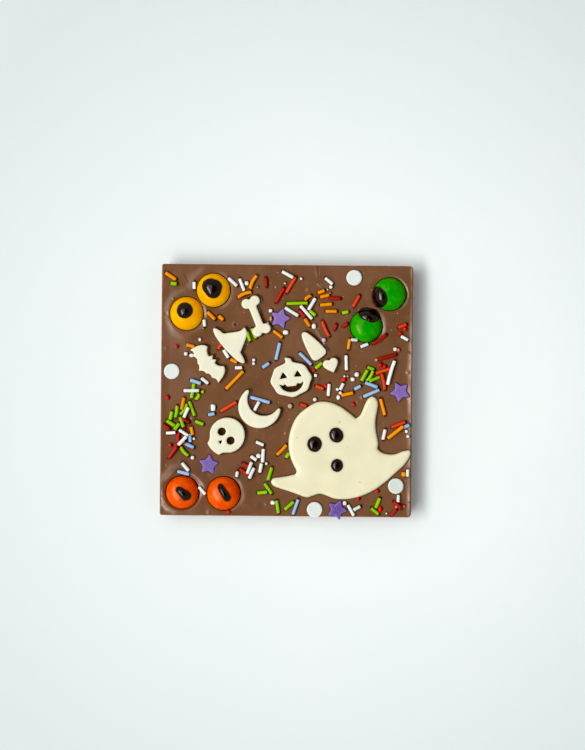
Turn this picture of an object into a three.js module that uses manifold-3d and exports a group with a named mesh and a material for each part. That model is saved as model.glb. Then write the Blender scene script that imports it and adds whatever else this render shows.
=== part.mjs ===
// A square bar of milk chocolate for Halloween, cast by hand and dressed while it was soft.
// A white chocolate ghost, flat white chocolate figures, six sugar-shelled sweets with dark pupils,
// sugar discs and stars and a scatter of sugar sprinkles are set in its top.
// Millimetres, +X to the right, +Y away from the eater, +Z up, origin in the middle of the underside.

import * as THREE from 'three';
import { mergeVertices } from 'three/addons/utils/BufferGeometryUtils.js';
import Module from 'manifold-3d';

const wasm = await Module();
wasm.setup();

// The slab
const SIDE = 99.7;
const TOP = 8;
const CORNER_RADIUS = 1.3;
const CORNER_STEPS = 3;
const FOOT_INSET = 1.3;
const FOOT_ROUNDING = 0.5;
const WALL_INSET = 0.1;
const RIM_HEIGHT = 0.4;
const RIM_WIDTH = 0.75;
const RIM_FOOT = 1.5;

// Sugar-shelled sweets
const SWEET_HEIGHT = 3.2;
const SWEET_MIDDLE = 8.2;
const SWEET_BULGE = 0.6;
const SWEET_SIDES = 20;
const LIP_REACH = 1.35;
const LIP_HEIGHT = 0.3;
const LIP_SLOPE = 1;

// Dark chocolate dots: the pupils and the ghost's face
const DOT_SIDES = 12;
const DOT_HEIGHT = 1.1;
const DOT_GAP = 0.2;

// White chocolate ghost and figures, sugar discs and stars: underside and top of each
const GHOST = { low: 6.8, high: 9.8, shoulder: 0.9 };
const FIGURE = { low: 7, high: 9.5, shoulder: 0.45 };
const BAT_GROWTH = 1.1;
const HAT_GROWTH = 1.2;
const STAR = { low: 7.5, high: 8.9, shoulder: 0.3 };
const DISC = { low: 7.5, high: 8.8, shoulder: 0.3 };
const STAR_RADIUS = 4;
const STAR_WAIST = 2.35;
const DISC_RADIUS = 3.1;
const DISC_SIDES = 16;

// Room left round whatever is set in the slab
const CLEARANCE = 0.3;
const CUT_CEILING = 14;

// Sprinkles: rods with a flattened back, and rounder grains
const ROD_WIDTH = 1.5;
const ROD_CREST = 0.8;
const ROD_RISE = 1.1;
const ROOT = 0.1;
const RIDER_LIFT = 0.75;
const GRAIN_SIDES = 5;
const GRAIN_RISE = 0.8;

// Steps along a curved outline for the square root of its length
const SMOOTHNESS = 2.1;

const deg = THREE.MathUtils.degToRad;

// Each sweet: middle, radius, colour, and its pupil's middle, length, width, turn and egg shape
const SWEETS = [
  { name: 'yellow_a', x: -29.3, y: 39.5, radius: 6.6, colour: 0xf5b000,
    pupil: { x: -29.9, y: 40.3, long: 8.2, wide: 7.8, turn: 60, egg: 0 } },
  { name: 'yellow_b', x: -39.9, y: 30.2, radius: 6.6, colour: 0xf5b000,
    pupil: { x: -40.5, y: 31.6, long: 6.7, wide: 6.4, turn: 90, egg: 0 } },
  { name: 'green_a', x: 40.5, y: 38.7, radius: 6.6, colour: 0x149a10,
    pupil: { x: 36.7, y: 37.6, long: 8.8, wide: 5.2, turn: -67, egg: 0 } },
  { name: 'green_b', x: 31.2, y: 26.2, radius: 6.6, colour: 0x149a10,
    pupil: { x: 32.7, y: 30.2, long: 8.6, wide: 5.2, turn: -18, egg: 0 } },
  { name: 'orange_a', x: -40.8, y: -40.8, radius: 6.5, colour: 0xeb4b10,
    pupil: { x: -40.7, y: -41.3, long: 7.6, wide: 3.9, turn: -45, egg: 0.18 } },
  { name: 'orange_b', x: -24.4, y: -41, radius: 6.6, colour: 0xeb4b10,
    pupil: { x: -24.3, y: -40.9, long: 8.2, wide: 3.4, turn: -62, egg: 0.05 } },
];

const FACE_DOTS = [
  { name: 'ghost_eye_left', x: 11.3, y: -21.05, long: 6.1, wide: 5.65, turn: 90, egg: 0 },
  { name: 'ghost_eye_right', x: 19.85, y: -17.4, long: 6, wide: 5.4, turn: 115, egg: 0 },
  { name: 'ghost_mouth', x: 20.25, y: -29.4, long: 5.1, wide: 4.7, turn: 90, egg: 0 },
];

const DISCS = [[26.4, 45], [-45.55, 7.2], [43.7, -37.45], [11.6, -47.1]];

const STARS = [
  { x: -2.7, y: 28.6, turn: 2 },
  { x: 45.05, y: -0.05, turn: 46 },
  { x: -30.55, y: -29.7, turn: 12 },
  { x: 20.45, y: -47.1, turn: -3 },
];

const FIGURES = [
  { name: 'bat', x: -31.2, y: 10.6, turn: -49, draw: drawBat, holes: [] },
  { name: 'hat', x: -22.9, y: 17.6, turn: -48, draw: drawHat, holes: [] },
  { name: 'bone', x: -12.3, y: 29.4, turn: -68, draw: drawBone, holes: [] },
  { name: 'skull', x: -23.3, y: -17.9, turn: -45, draw: drawSkull,
    holes: [drawSocket(-1), drawSocket(1), drawNose()] },
  { name: 'moon', x: -10.6, y: -6.6, turn: 60, draw: drawMoon, holes: [] },
  { name: 'pumpkin', x: 1.8, y: 4.5, turn: 8, draw: drawPumpkin,
    holes: [drawEye(-1), drawEye(1), drawMouth()] },
  { name: 'corn', x: 10.1, y: 18, turn: -53, draw: drawCorn, holes: [] },
  { name: 'heart', x: 17.6, y: 10.2, turn: 20, draw: drawHeart, holes: [] },
];

// Sprinkle rods by colour: x and y of one end, x and y of the other, and the bow of the middle
const RODS = {
  orange: [
    [-48.4, 46.3, -44.2, 43.6], [-31.6, 30.9, -28.6, 28], [-27.1, 29.4, -25.3, 27.8],
    [-12.2, 45.5, -14.8, 40.2, -0.4], [-19.6, 36.7, -14.3, 38.9, 0.5], [12.1, 38.8, 14.7, 39.8],
    [13, 37.2, 16.6, 38.1], [13, 34, 17.7, 34.5], [15.2, 31.6, 19.6, 31.6], [7, 35.9, 9.4, 37.8, 0.3],
    [7, 28.5, 9, 25.6], [-39.8, 17.9, -36.6, 17], [-22.3, 12.2, -19.7, 11], [-24, 0.4, -17.2, 7.5],
    [-5.4, 23.7, -1.8, 21], [24.9, 20.7, 24.3, 16.6], [-40.5, -3.2, -41.5, -7.9],
    [-37.7, -14.7, -37, -17.9], [-3.6, -25.5, 0.2, -21.5, -0.2], [21.7, -1.7, 26.4, -0.6],
    [37.3, -2.9, 39.1, -9.3], [40.3, -18.6, 46.3, -13.7],
  ],
  green: [
    [-46.3, 42.1, -43.9, 41.9], [-0.3, 34.5, 8.1, 34.8], [9, 31.8, 11.2, 29.9], [21.7, 31, 24.2, 31.5],
    [-36.6, 2.5, -37.6, -3.3], [-34.6, -1.6, -36, -3.9, 0.3], [-38.5, -4.6, -36.3, -10.3],
    [-39.4, -5.6, -42, -9.9, 0.4], [-43.3, -6.4, -43.9, -11, 0.2], [-45.3, -8.7, -46, -12],
    [-47.2, -12.3, -44, -14.4], [-42.3, -13.4, -44.1, -15.9], [-42, -10.9, -40.6, -14.8],
    [-36.1, -12.4, -32.8, -13.7], [-41.7, -22.6, -38.7, -26.1, -0.4], [-15.9, 23.1, -14.6, 19.5],
    [-14, 24.5, -12.2, 20.7], [11.4, 8.9, 14, 11.2], [32, 9.6, 34.7, 8.6], [32, 8.5, 29.7, 4.1],
    [34.1, 8.2, 31.7, 4.2, 0.4], [32.7, 4, 37, 5.8], [-5.5, -30.5, -7, -35.6],
    [-8.3, -36.9, -5.5, -40.9], [-11.2, -40.7, -7.3, -40.2], [-3.5, -43.6, -2.7, -48.6],
    [3.3, -44, -0.3, -47.2], [1.3, -24.7, 0, -26.6], [37.4, -42.3, 35.8, -46.2], [34, -46.2, 37, -48.6],
  ],
  blue: [
    [-38.1, 3.9, -33.9, 2.5], [-2.8, 18.9, -4.3, 12.2], [-9.6, 9, -7, 10.9], [5, 15, 9.8, 10.4],
    [-14.2, -2.7, -6.6, -4.8], [-31, -9.9, -28.4, -9.4], [-38.3, -17.5, -37.9, -20.8],
    [-40.2, -21.2, -36.5, -22.9], [-42.9, -32.3, -38.2, -33.5], [31.1, 3.5, 36, 1.7],
    [26.9, 0.8, 29.4, 2.1], [30.5, -2.1, 36.8, 0.7], [46.5, -14.1, 48.8, -13.2], [5.1, -43.1, 3, -49.1],
  ],
  white: [
    [-37, 42.7, -36.9, 39.9], [-32.9, 27.8, -32.6, 25.1], [-23.4, 44.4, -20, 41.3],
    [-19, 44.2, -17.1, 39.4], [-2.2, 47.2, 2.2, 44.8], [14.9, 44.8, 17.9, 42.4], [11.1, 36.7, 8.4, 32],
    [5.2, 33.7, 9.9, 28.5], [-0.9, 32.9, 4.4, 29.7], [-33.8, 4.7, -31, 2.5], [-25.1, 15.9, -23.1, 12.8],
    [-20.5, 8.9, -17.7, 8.9], [23.5, 14.2, 23.7, 8.3], [22.5, 3.1, 21.3, 0.5], [16.9, 2.8, 16.6, -2],
    [25.4, 20.4, 28, 20.3], [29.2, 17.6, 32.2, 18.8], [45.2, 22, 48, 20.5], [42.7, 12.2, 40, 2.7, -0.2],
    [-47.6, -17.3, -43.8, -17], [-42.3, -15.9, -38.7, -18.2], [-10.8, -4.5, -12.6, -8],
    [-11.9, -20.4, -8.8, -21.7], [-8.9, -23.2, -9.2, -28.6], [-13.9, -26.1, -11.6, -27.7],
    [-12.6, -30.7, -14.4, -34.9], [-9.6, -28.9, -10.3, -32.6], [-19.1, -32.2, -19.4, -34.4],
    [-41.1, -29, -38.4, -32.1], [-33.9, -38.7, -31.9, -41], [39.3, -15, 38.4, -19.1],
    [24.8, -45.1, 27.2, -49.3], [27, -47, 29.7, -45.6], [44.8, -40.9, 44.6, -43.7],
    [48.4, -30.8, 48.3, -33.6],
  ],
  brightRed: [
    [3.2, 45, -0.4, 38.8], [13.9, 27.7, 16.7, 21.7, -0.2], [28.6, 38, 26.1, 33.4],
    [44, 25.4, 47.3, 26.7], [-25.8, 18.4, -27.3, 16.2], [-26.1, -8.5, -19.8, -4.7],
    [11.5, 2, 14.7, 0.8], [35.3, 7.2, 41, 9], [37.5, 7.1, 39, 0.8, 0.2], [41.7, -14.2, 47.2, -12],
    [5.6, -5.3, 8, -6.1],
  ],
  darkRed: [
    [-8.7, 44.6, -8.3, 41.2], [-1.4, 40.6, -4.6, 34.9], [16.8, 36.8, 21, 36.7], [4.8, 31.8, 7.1, 29],
    [19.5, 26.4, 18.8, 24.4], [22, 25.6, 24, 26.8], [33.9, 19, 39.2, 22.5, -0.3],
    [36.3, 12.7, 43.3, 14.7], [-41.2, -11.3, -38.4, -13], [-48.4, -13.9, -46.1, -15.7],
    [-42.3, -16.7, -42.6, -20.7, -0.3], [-44.2, -22.2, -39.9, -20.8], [-43.2, -22.6, -46.5, -27.1],
    [-17.1, -29, -14.7, -30.3], [-18.2, -31.2, -14.7, -33.6], [42.8, -43.7, 45, -45.1],
    [43.9, -46.6, 41.8, -49.1], [45.2, -44.8, 45.6, -46.4],
  ],
};

// Rods that lie across others
const RIDERS = [
  [-40.7, -0.4, -34.6, -0.3], [-38.7, -7, -40.5, -11],
  [-39.4, -18.5, -42.6, -21.9], [-13.5, -28.4, -15.2, -33],
];

// Grains and broken bits: x, y, breadth and, where it isn't round, depth
const GRAINS = [
  // white
  [-16.2, 42.4, 1.6], [17.2, 41.2, 1.3], [10.6, 25.6, 1.8, 2.2], [-6.6, 31.6, 1.4], [5.4, 44.4, 1],
  [-37.6, 13.6, 2.2, 1.5], [-40, 14.2, 1.5], [-34.5, 19.9, 1, 1.3], [-13.1, 12, 1.2], [-13.1, 10.6, 1.1],
  [-0.6, 23.1, 2.1, 1.7], [20.2, 0.7, 1.2], [21.4, -0.7, 1.3], [20.6, -2.5, 1.5, 1.9], [11.3, -3.4, 1.5],
  [26.2, 4.7, 1.5], [27.8, 6.6, 2], [42.9, 16.8, 1.4], [-36.5, -19.4, 1], [-29, -7, 1.9, 2.6],
  [-10.8, -26, 1.9], [-7.7, -29, 1.1], [-5, -44.5, 2, 1.7], [-37, -26.9, 1.4], [47.7, -15.7, 1.2],
  [48.3, -17.7, 1.2], [23.5, -44.4, 1.4, 1.6], [11.5, 6.1, 1.2],
  // lilac and tan
  [14.6, 20.2, 1.8], [1.5, -6.1, 1.9], [-7.7, 26.5, 1.1], [-6.5, 28.5, 1, 1.9],
  // red
  [-43.8, 17.1, 1.4], [46.7, 24.9, 1.4], [44.9, 23.1, 1.4], [10.8, 8, 1.3], [15.5, 2, 1.2, 1.6],
  [-47.2, -3.2, 1.6], [-45.9, -22, 1.4], [26.5, -5.2, 1.4], [-22.5, -48.3, 1.3], [28.8, -42.6, 1.3],
  [36.3, -39.5, 1.4], [37.5, -46.6, 1.5, 2.4], [38.8, 9.9, 1.4], [37, 10.6, 1.7], [22.7, 4.6, 1.7],
  [44.2, 16.5, 1.3], [47, -45.4, 1], [44, -45.7, 1.2],
  // orange and green
  [46.7, -32.7, 1.8], [-33.2, -0.8, 1.3],
];

const COLOURS = {
  milkChocolate: 0x7e5839,
  whiteChocolate: 0xf0ebc8,
  darkChocolate: 0x1e1411,
  sugarWhite: 0xe4e8e2,
  sugarPurple: 0x876eaf,
};

function material(color, roughness) {
  return new THREE.MeshStandardMaterial({ color, roughness, metalness: 0 });
}

// A closed skin over rings of equal count. The first and the last ring are filled flat.
function skin(rings) {
  const count = rings[0].length;
  const index = [];
  for (let level = 0; level < rings.length - 1; level += 1) {
    for (let i = 0; i < count; i += 1) {
      const here = level * count + i;
      const next = level * count + ((i + 1) % count);
      index.push(here, next, next + count, here, next + count, here + count);
    }
  }
  const last = (rings.length - 1) * count;
  for (const [a, b, c] of fill(rings[0])) {
    index.push(a, c, b);
  }
  for (const [a, b, c] of fill(rings[rings.length - 1])) {
    index.push(last + a, last + b, last + c);
  }
  return meshed(rings.flat(), index);
}

function meshed(points, index) {
  const geometry = new THREE.BufferGeometry();
  const places = points.flatMap((point) => [point.x, point.y, point.z]);
  geometry.setAttribute('position', new THREE.Float32BufferAttribute(places, 3));
  geometry.setIndex(index);
  return geometry;
}

// Triangles over one ring: an outline that lies level may be hollow-sided, any other is convex.
function fill(ring) {
  const level = ring.every((point) => Math.abs(point.z - ring[0].z) < 1e-6);
  if (level) {
    return THREE.ShapeUtils.triangulateShape(ring.map((point) => new THREE.Vector2(point.x, point.y)), []);
  }
  return ring.slice(2).map((_, i) => [0, i + 1, i + 2]);
}

function toSolid(geometry) {
  const bare = geometry.clone();
  bare.deleteAttribute('normal');
  bare.deleteAttribute('uv');
  const merged = mergeVertices(bare);
  const kept = [];
  const { array } = merged.index;
  for (let i = 0; i < array.length; i += 3) {
    const [a, b, c] = [array[i], array[i + 1], array[i + 2]];
    if (a !== b && b !== c && c !== a) {
      kept.push(a, b, c);
    }
  }
  return new wasm.Manifold(new wasm.Mesh({
    numProp: 3,
    vertProperties: new Float32Array(merged.attributes.position.array),
    triVerts: new Uint32Array(kept),
  }));
}

function toGeometry(solid) {
  const { vertProperties, triVerts } = solid.getMesh();
  const geometry = new THREE.BufferGeometry();
  geometry.setAttribute('position', new THREE.BufferAttribute(vertProperties, 3));
  geometry.setIndex(new THREE.BufferAttribute(triVerts, 1));
  geometry.computeVertexNormals();
  return geometry;
}

// A turned solid about the Z axis from pairs of radius and height that start and end on the axis
function turned(profile, sides) {
  const geometry = new THREE.LatheGeometry(profile.map(([r, z]) => new THREE.Vector2(r, z)), sides);
  return geometry.rotateX(Math.PI / 2);
}

// Steps along one stretch of an outline: a straight stretch has one, a spline one for each gap
function steps(curve) {
  if (curve.isLineCurve) {
    return 1;
  }
  if (curve.isSplineCurve) {
    return curve.points.length - 1;
  }
  return Math.max(2, Math.round(SMOOTHNESS * Math.sqrt(curve.getLength())));
}

// An outline's points, anticlockwise, turned by an angle in degrees and moved to its place
function placed(shape, { x, y, turn }) {
  const points = shape.curves.flatMap((curve) => curve.getPoints(steps(curve)));
  const outline = points.filter((point, i) => point.distanceTo(points[(i + 1) % points.length]) > 1e-3);
  if (THREE.ShapeUtils.isClockWise(outline)) {
    outline.reverse();
  }
  const origin = new THREE.Vector2();
  const place = new THREE.Vector2(x, y);
  return outline.map((point) => point.clone().rotateAround(origin, deg(turn)).add(place));
}

// The outline moved outwards by a distance, or inwards where it is negative
function grown(outline, distance) {
  const count = outline.length;
  return outline.map((point, i) => {
    const before = outline[(i + count - 1) % count];
    const after = outline[(i + 1) % count];
    const back = point.clone().sub(before).normalize();
    const ahead = after.clone().sub(point).normalize();
    const outward = new THREE.Vector2(back.y + ahead.y, -back.x - ahead.x).normalize();
    const spread = Math.max(0.65, outward.x * ahead.y - outward.y * ahead.x);
    return point.clone().addScaledVector(outward, distance / spread);
  });
}

function atHeight(outline, z) {
  return outline.map((point) => new THREE.Vector3(point.x, point.y, z));
}

// A flat piece with a sloped upper edge
function plate(outline, { low, high, shoulder }) {
  return skin([
    atHeight(outline, low),
    atHeight(outline, high - shoulder),
    atHeight(grown(outline, -shoulder), high),
  ]);
}

// The ghost's upper edge is rounded in two slopes
function ghostBody() {
  const outline = ghostOutline();
  const { low, high, shoulder } = GHOST;
  return skin([
    atHeight(outline, low),
    atHeight(outline, high - shoulder),
    atHeight(grown(outline, -0.35 * shoulder), high - 0.3 * shoulder),
    atHeight(grown(outline, -shoulder), high),
  ]);
}

function ghostOutline() {
  return placed(drawGhost(), { x: 0, y: 0, turn: 0 });
}

// The bed cut for a flat piece, open upwards
function bed(outline, { low }) {
  const wide = grown(outline, CLEARANCE);
  return toSolid(skin([atHeight(wide, low - CLEARANCE), atHeight(wide, CUT_CEILING)]));
}

function squareRing(inset, z) {
  const half = SIDE / 2 - inset;
  const points = [];
  for (let corner = 0; corner < 4; corner += 1) {
    const middle = deg(45 + 90 * corner);
    const reach = (half - CORNER_RADIUS) * Math.SQRT2;
    for (let step = 0; step <= CORNER_STEPS; step += 1) {
      const angle = middle + deg(90) * (step / CORNER_STEPS - 0.5);
      points.push(new THREE.Vector3(
        reach * Math.cos(middle) + CORNER_RADIUS * Math.cos(angle),
        reach * Math.sin(middle) + CORNER_RADIUS * Math.sin(angle),
        z,
      ));
    }
  }
  return points;
}

// The bare slab: sides that lean in to the foot, and a low rim where the chocolate crept up the mould
function bareSlab() {
  return toSolid(skin([
    squareRing(FOOT_INSET, 0),
    squareRing(FOOT_INSET - FOOT_ROUNDING, FOOT_ROUNDING),
    squareRing(WALL_INSET, TOP - RIM_HEIGHT),
    squareRing(0, TOP + 0.1),
    squareRing(RIM_HEIGHT / 2, TOP + RIM_HEIGHT),
    squareRing(RIM_WIDTH, TOP + RIM_HEIGHT),
    squareRing(RIM_FOOT, TOP),
  ]));
}

// The height of a sweet's skin above its widest level, at a distance from its axis
function swell(radius, distance) {
  const share = Math.min(distance / radius, 0.97);
  return SWEET_HEIGHT * (1 - share * share) ** SWEET_BULGE;
}

// The hidden half of a sweet, from its lowest point to its widest level
function sweetUnderside(radius, thicken) {
  return [0, 0.7].map((share) => [share * (radius + thicken), -swell(radius, share * radius) - thicken]);
}

function sweetSolid({ x, y, radius }) {
  const upper = [0.92, 0.76, 0.47, 0].map((share) => [share * radius, swell(radius, share * radius)]);
  const profile = [...sweetUnderside(radius, 0), [radius, 0], ...upper];
  return turned(profile, SWEET_SIDES).translate(x, y, SWEET_MIDDLE);
}

// The bed of a sweet, straight-sided above the sweet's widest level
function sweetBed({ x, y, radius }) {
  const ceiling = CUT_CEILING - SWEET_MIDDLE;
  const wide = radius + CLEARANCE;
  const profile = [...sweetUnderside(radius, CLEARANCE), [wide, 0], [wide, ceiling], [0, ceiling]];
  return toSolid(turned(profile, SWEET_SIDES).translate(x, y, SWEET_MIDDLE));
}

// The low lip that a sweet pushed up as it was pressed in
function lip({ x, y, radius }) {
  const crest = radius + LIP_REACH;
  const outside = crest + LIP_SLOPE;
  const profile = [
    [0, TOP - ROOT], [outside, TOP - ROOT], [crest, TOP + LIP_HEIGHT],
    [radius, TOP - ROOT / 2], [0, TOP - ROOT / 2],
  ];
  return toSolid(turned(profile, SWEET_SIDES).translate(x, y, 0));
}

// A dot of dark chocolate laid on a surface, whose height is a function of x and y
function dot({ x, y, long, wide, turn, egg }, surface) {
  const edge = (angle, share) => {
    const along = (long / 2) * Math.cos(angle) * share;
    const across = (wide / 2) * Math.sin(angle) * share * (1 + egg * Math.cos(angle));
    const point = new THREE.Vector2(along, across).rotateAround(new THREE.Vector2(), deg(turn));
    return point.add(new THREE.Vector2(x, y));
  };
  const layers = [
    { share: 0.6, rise: 0 }, { share: 1, rise: 0 },
    { share: 0.94, rise: 0.5 }, { share: 0.55, rise: 0.9 },
  ];
  const points = [new THREE.Vector3(x, y, surface(x, y) + DOT_GAP)];
  for (const { share, rise } of layers) {
    for (let i = 0; i < DOT_SIDES; i += 1) {
      const point = edge((2 * Math.PI * i) / DOT_SIDES, share);
      const z = surface(point.x, point.y) + DOT_GAP + rise * DOT_HEIGHT;
      points.push(new THREE.Vector3(point.x, point.y, z));
    }
  }
  points.push(new THREE.Vector3(x, y, surface(x, y) + DOT_GAP + DOT_HEIGHT));
  const index = [];
  const crown = points.length - 1;
  for (let i = 0; i < DOT_SIDES; i += 1) {
    const next = (i + 1) % DOT_SIDES;
    index.push(0, 1 + next, 1 + i);
    for (let layer = 0; layer < layers.length - 1; layer += 1) {
      const low = 1 + layer * DOT_SIDES;
      const high = low + DOT_SIDES;
      index.push(low + i, low + next, high + next, low + i, high + next, high + i);
    }
    index.push(crown - DOT_SIDES + i, crown - DOT_SIDES + next, crown);
  }
  return meshed(points, index);
}

// A sprinkle rod between two ends, bowed to the left of its way by a distance
function rod([x1, y1, x2, y2, bow = 0], lift) {
  const start = new THREE.Vector3(x1, y1, TOP + lift);
  const end = new THREE.Vector3(x2, y2, TOP + lift);
  const way = end.clone().sub(start).normalize();
  const side = new THREE.Vector3(-way.y, way.x, 0);
  const middle = start.clone().lerp(end, 0.5).addScaledVector(side, bow);
  const stops = bow === 0 ? [start, end] : [start, middle, end];
  const section = [
    [-ROD_WIDTH / 2, -ROOT], [ROD_WIDTH / 2, -ROOT], [ROD_CREST / 2, ROD_RISE], [-ROD_CREST / 2, ROD_RISE],
  ];
  return toSolid(skin(stops.map((stop) => section.map(([across, rise]) => {
    const point = stop.clone().addScaledVector(side, -across);
    point.z += rise;
    return point;
  }).reverse())));
}

// A grain between round and oval, flat where it is buried
function grain([x, y, breadth, depth = breadth]) {
  const rise = GRAIN_RISE * Math.min(breadth, depth);
  const profile = [[0, -ROOT], [0.5, -ROOT], [0.36, rise], [0, rise]];
  const geometry = turned(profile, GRAIN_SIDES).scale(breadth, depth, 1);
  return toSolid(geometry.translate(x, y, TOP));
}

// The ghost: head, raised arm, trailing tail and scalloped hem
function drawGhost() {
  const run = (...pairs) => pairs.map(([x, y]) => new THREE.Vector2(x, y));
  const shape = new THREE.Shape();
  shape.moveTo(4.3, -32);
  shape.splineThru(run(
    [3.9, -33.1], [0.6, -33.9], [-2.6, -34.4], [-5.1, -34.9], [-5.9, -36.3], [-4.9, -37.7],
    [-2.4, -38.7], [1.5, -39.9], [5.5, -41.3], [8.5, -42.2], [11.2, -41.4], [13.6, -40.7],
    [16.2, -41.4], [19.4, -42.6], [23.5, -42.8], [28, -42.1], [32.6, -40.4], [36.3, -38.3],
    [40, -35.4], [43.6, -32.1], [46.9, -29], [48.6, -26.5], [49.4, -24.4], [49, -23.1],
  ));
  shape.splineThru(run([46.3, -23.6], [43.6, -24.7], [40.9, -24.9], [37.7, -24], [36.2, -22.6]));
  shape.splineThru(run(
    [36.6, -20.8], [36.2, -18.6], [35.5, -15], [35.4, -11.4], [36, -7.6], [36.3, -4.8],
    [35.5, -2.7], [34.1, -1.9], [32.6, -2.7], [31.4, -4.6], [30.3, -7.4], [29.1, -9.7], [27.6, -10.8],
  ));
  shape.splineThru(run(
    [24.6, -8.3], [21.2, -6], [16.8, -4.4], [12.6, -4.4], [8.3, -6.6], [4.4, -10.1],
    [2.1, -14.7], [1.1, -19.3], [1.2, -23.4], [2, -26.8], [3.3, -29.8], [4.3, -32],
  ));
  return shape;
}

// A bat with its wings spread along X
function drawBat() {
  const wing = [
    [[1, 3.3]],
    [[1.5, 1.9]],
    [[3.2, 1.8], [4.6, 3.8]],
    [[7.4, 3], [7.8, -1.9]],
    [[6.3, -0.7], [5, -2.4]],
    [[3.6, -1.3], [2.4, -3]],
    [[1.2, -2.4], [0, -4.4]],
  ];
  const back = wing.map((stretch) => stretch.map(([x, y]) => [-x, y])).reverse();
  const ends = [...back.map((stretch) => stretch[stretch.length - 1]).slice(1), [0, 2.1]];
  const other = back.map((stretch, i) => [...stretch.slice(0, -1), ends[i]]);
  return traced([0, 2.1], [...wing, ...other], BAT_GROWTH);
}

// A pointed hat with a bent tip, its brim along X
function drawHat() {
  return traced([-7.8, 0], [
    [[-7, -1.7], [0, -1.7]],
    [[7, -1.7], [7.8, 0]],
    [[7, 1], [4.2, 1.3]],
    [[2.7, 4.4], [1.6, 6.3]],
    [[0.7, 8], [-1.3, 7.8]],
    [[-0.8, 6.7], [-1.6, 5.2]],
    [[-2.9, 3.2], [-4.2, 1.3]],
    [[-7, 1], [-7.8, 0]],
  ], HAT_GROWTH);
}

// An outline from stretches: one point for a straight stretch, a handle and a point for a bent one
function traced(start, stretches, growth) {
  const shape = new THREE.Shape();
  shape.moveTo(start[0] * growth, start[1] * growth);
  for (const stretch of stretches) {
    const [first, last] = stretch.map(([x, y]) => [x * growth, y * growth]);
    if (last) {
      shape.quadraticCurveTo(...first, ...last);
    } else {
      shape.lineTo(...first);
    }
  }
  return shape;
}

// A bone along X: a straight shaft with two knobs at each end
function drawBone() {
  const knob = { x: 5.9, y: 1.75, radius: 2.05 };
  const shaft = 1.5;
  const neck = Math.PI - Math.asin((shaft - knob.y) / knob.radius);
  const cleft = -Math.asin(knob.y / knob.radius);
  const shape = new THREE.Shape();
  shape.absarc(knob.x, knob.y, knob.radius, neck, cleft, true);
  shape.absarc(knob.x, -knob.y, knob.radius, -cleft, -neck, true);
  shape.absarc(-knob.x, -knob.y, knob.radius, neck - Math.PI, cleft - Math.PI, true);
  shape.absarc(-knob.x, knob.y, knob.radius, Math.PI - cleft, Math.PI - neck, true);
  return shape;
}

// A skull with its crown up and a short jaw
function drawSkull() {
  const crown = 7;
  const cheek = deg(234);
  const shape = new THREE.Shape();
  shape.absarc(0, 0, crown, deg(-54), cheek, false);
  shape.quadraticCurveTo(-3.6, -6.2, -3.3, -7.8);
  shape.quadraticCurveTo(0, -9, 3.3, -7.8);
  shape.quadraticCurveTo(3.6, -6.2, crown * Math.cos(cheek) * -1, crown * Math.sin(cheek));
  return shape;
}

function drawSocket(side) {
  const shape = new THREE.Shape();
  shape.absellipse(side * 2.5, -0.5, 1.6, 1.8, 0, 2 * Math.PI, false, side * 0.2);
  return shape;
}

function drawNose() {
  return polygon([[0, -2.7], [-0.8, -4.3], [0.8, -4.3]]);
}

// A crescent moon, open towards +X, with rounded horns
function drawMoon() {
  const outer = 8.4;
  const inner = { x: 3.6, radius: 6.6 };
  const horn = 0.6;
  const near = outer - horn;
  const far = inner.radius + horn;
  const x = (near * near - far * far + inner.x * inner.x) / (2 * inner.x);
  const y = Math.sqrt(near * near - x * x);
  const out = Math.atan2(y, x);
  const back = Math.atan2(y, inner.x - x);
  const shape = new THREE.Shape();
  shape.absarc(0, 0, outer, out, 2 * Math.PI - out, false);
  shape.absarc(x, -y, horn, -out, back, false);
  shape.absarc(inner.x, 0, inner.radius, back + Math.PI, Math.PI - back, true);
  shape.absarc(x, y, horn, -back, out, false);
  return shape;
}

// A pumpkin: a ribbed round body and a short stem
function drawPumpkin() {
  const ribs = 8;
  const steps = 34;
  const stem = 9;
  const points = [];
  for (let i = 0; i <= steps; i += 1) {
    const angle = deg(90 + stem + ((360 - 2 * stem) * i) / steps);
    const reach = 1 + 0.03 * Math.cos(ribs * angle);
    points.push([8 * reach * Math.cos(angle), 6.9 * reach * Math.sin(angle)]);
  }
  points.push([1, 8.2], [-1.5, 9]);
  return polygon(points);
}

function drawEye(side) {
  return polygon([[side * 4.4, 0.6], [side * 2.9, 3.3], [side * 1.3, 0.9]]);
}

function drawMouth() {
  return polygon([
    [-4.9, -1.4], [-3.4, -2.2], [-2.7, -1.5], [-1.9, -2.7], [1.7, -2.8], [2.5, -1.6], [3.3, -2.3],
    [4.9, -1.3], [3.7, -3.6], [1.6, -4.9], [-1.3, -4.9], [-3.6, -3.7],
  ]);
}

// A kernel of candy corn, its point towards -X
function drawCorn() {
  const point = { x: -5.1, radius: 1.3 };
  const base = { x: 4.3, y: 1.7, radius: 1.6 };
  const run = base.x - point.x;
  const lean = Math.atan2(base.y, run);
  const flank = lean + Math.acos((point.radius - base.radius) / Math.hypot(run, base.y));
  const shape = new THREE.Shape();
  shape.absarc(base.x, base.y, base.radius, 0, flank, false);
  shape.absarc(point.x, 0, point.radius, flank, 2 * Math.PI - flank, false);
  shape.absarc(base.x, -base.y, base.radius, 2 * Math.PI - flank, 2 * Math.PI, false);
  return shape;
}

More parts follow.
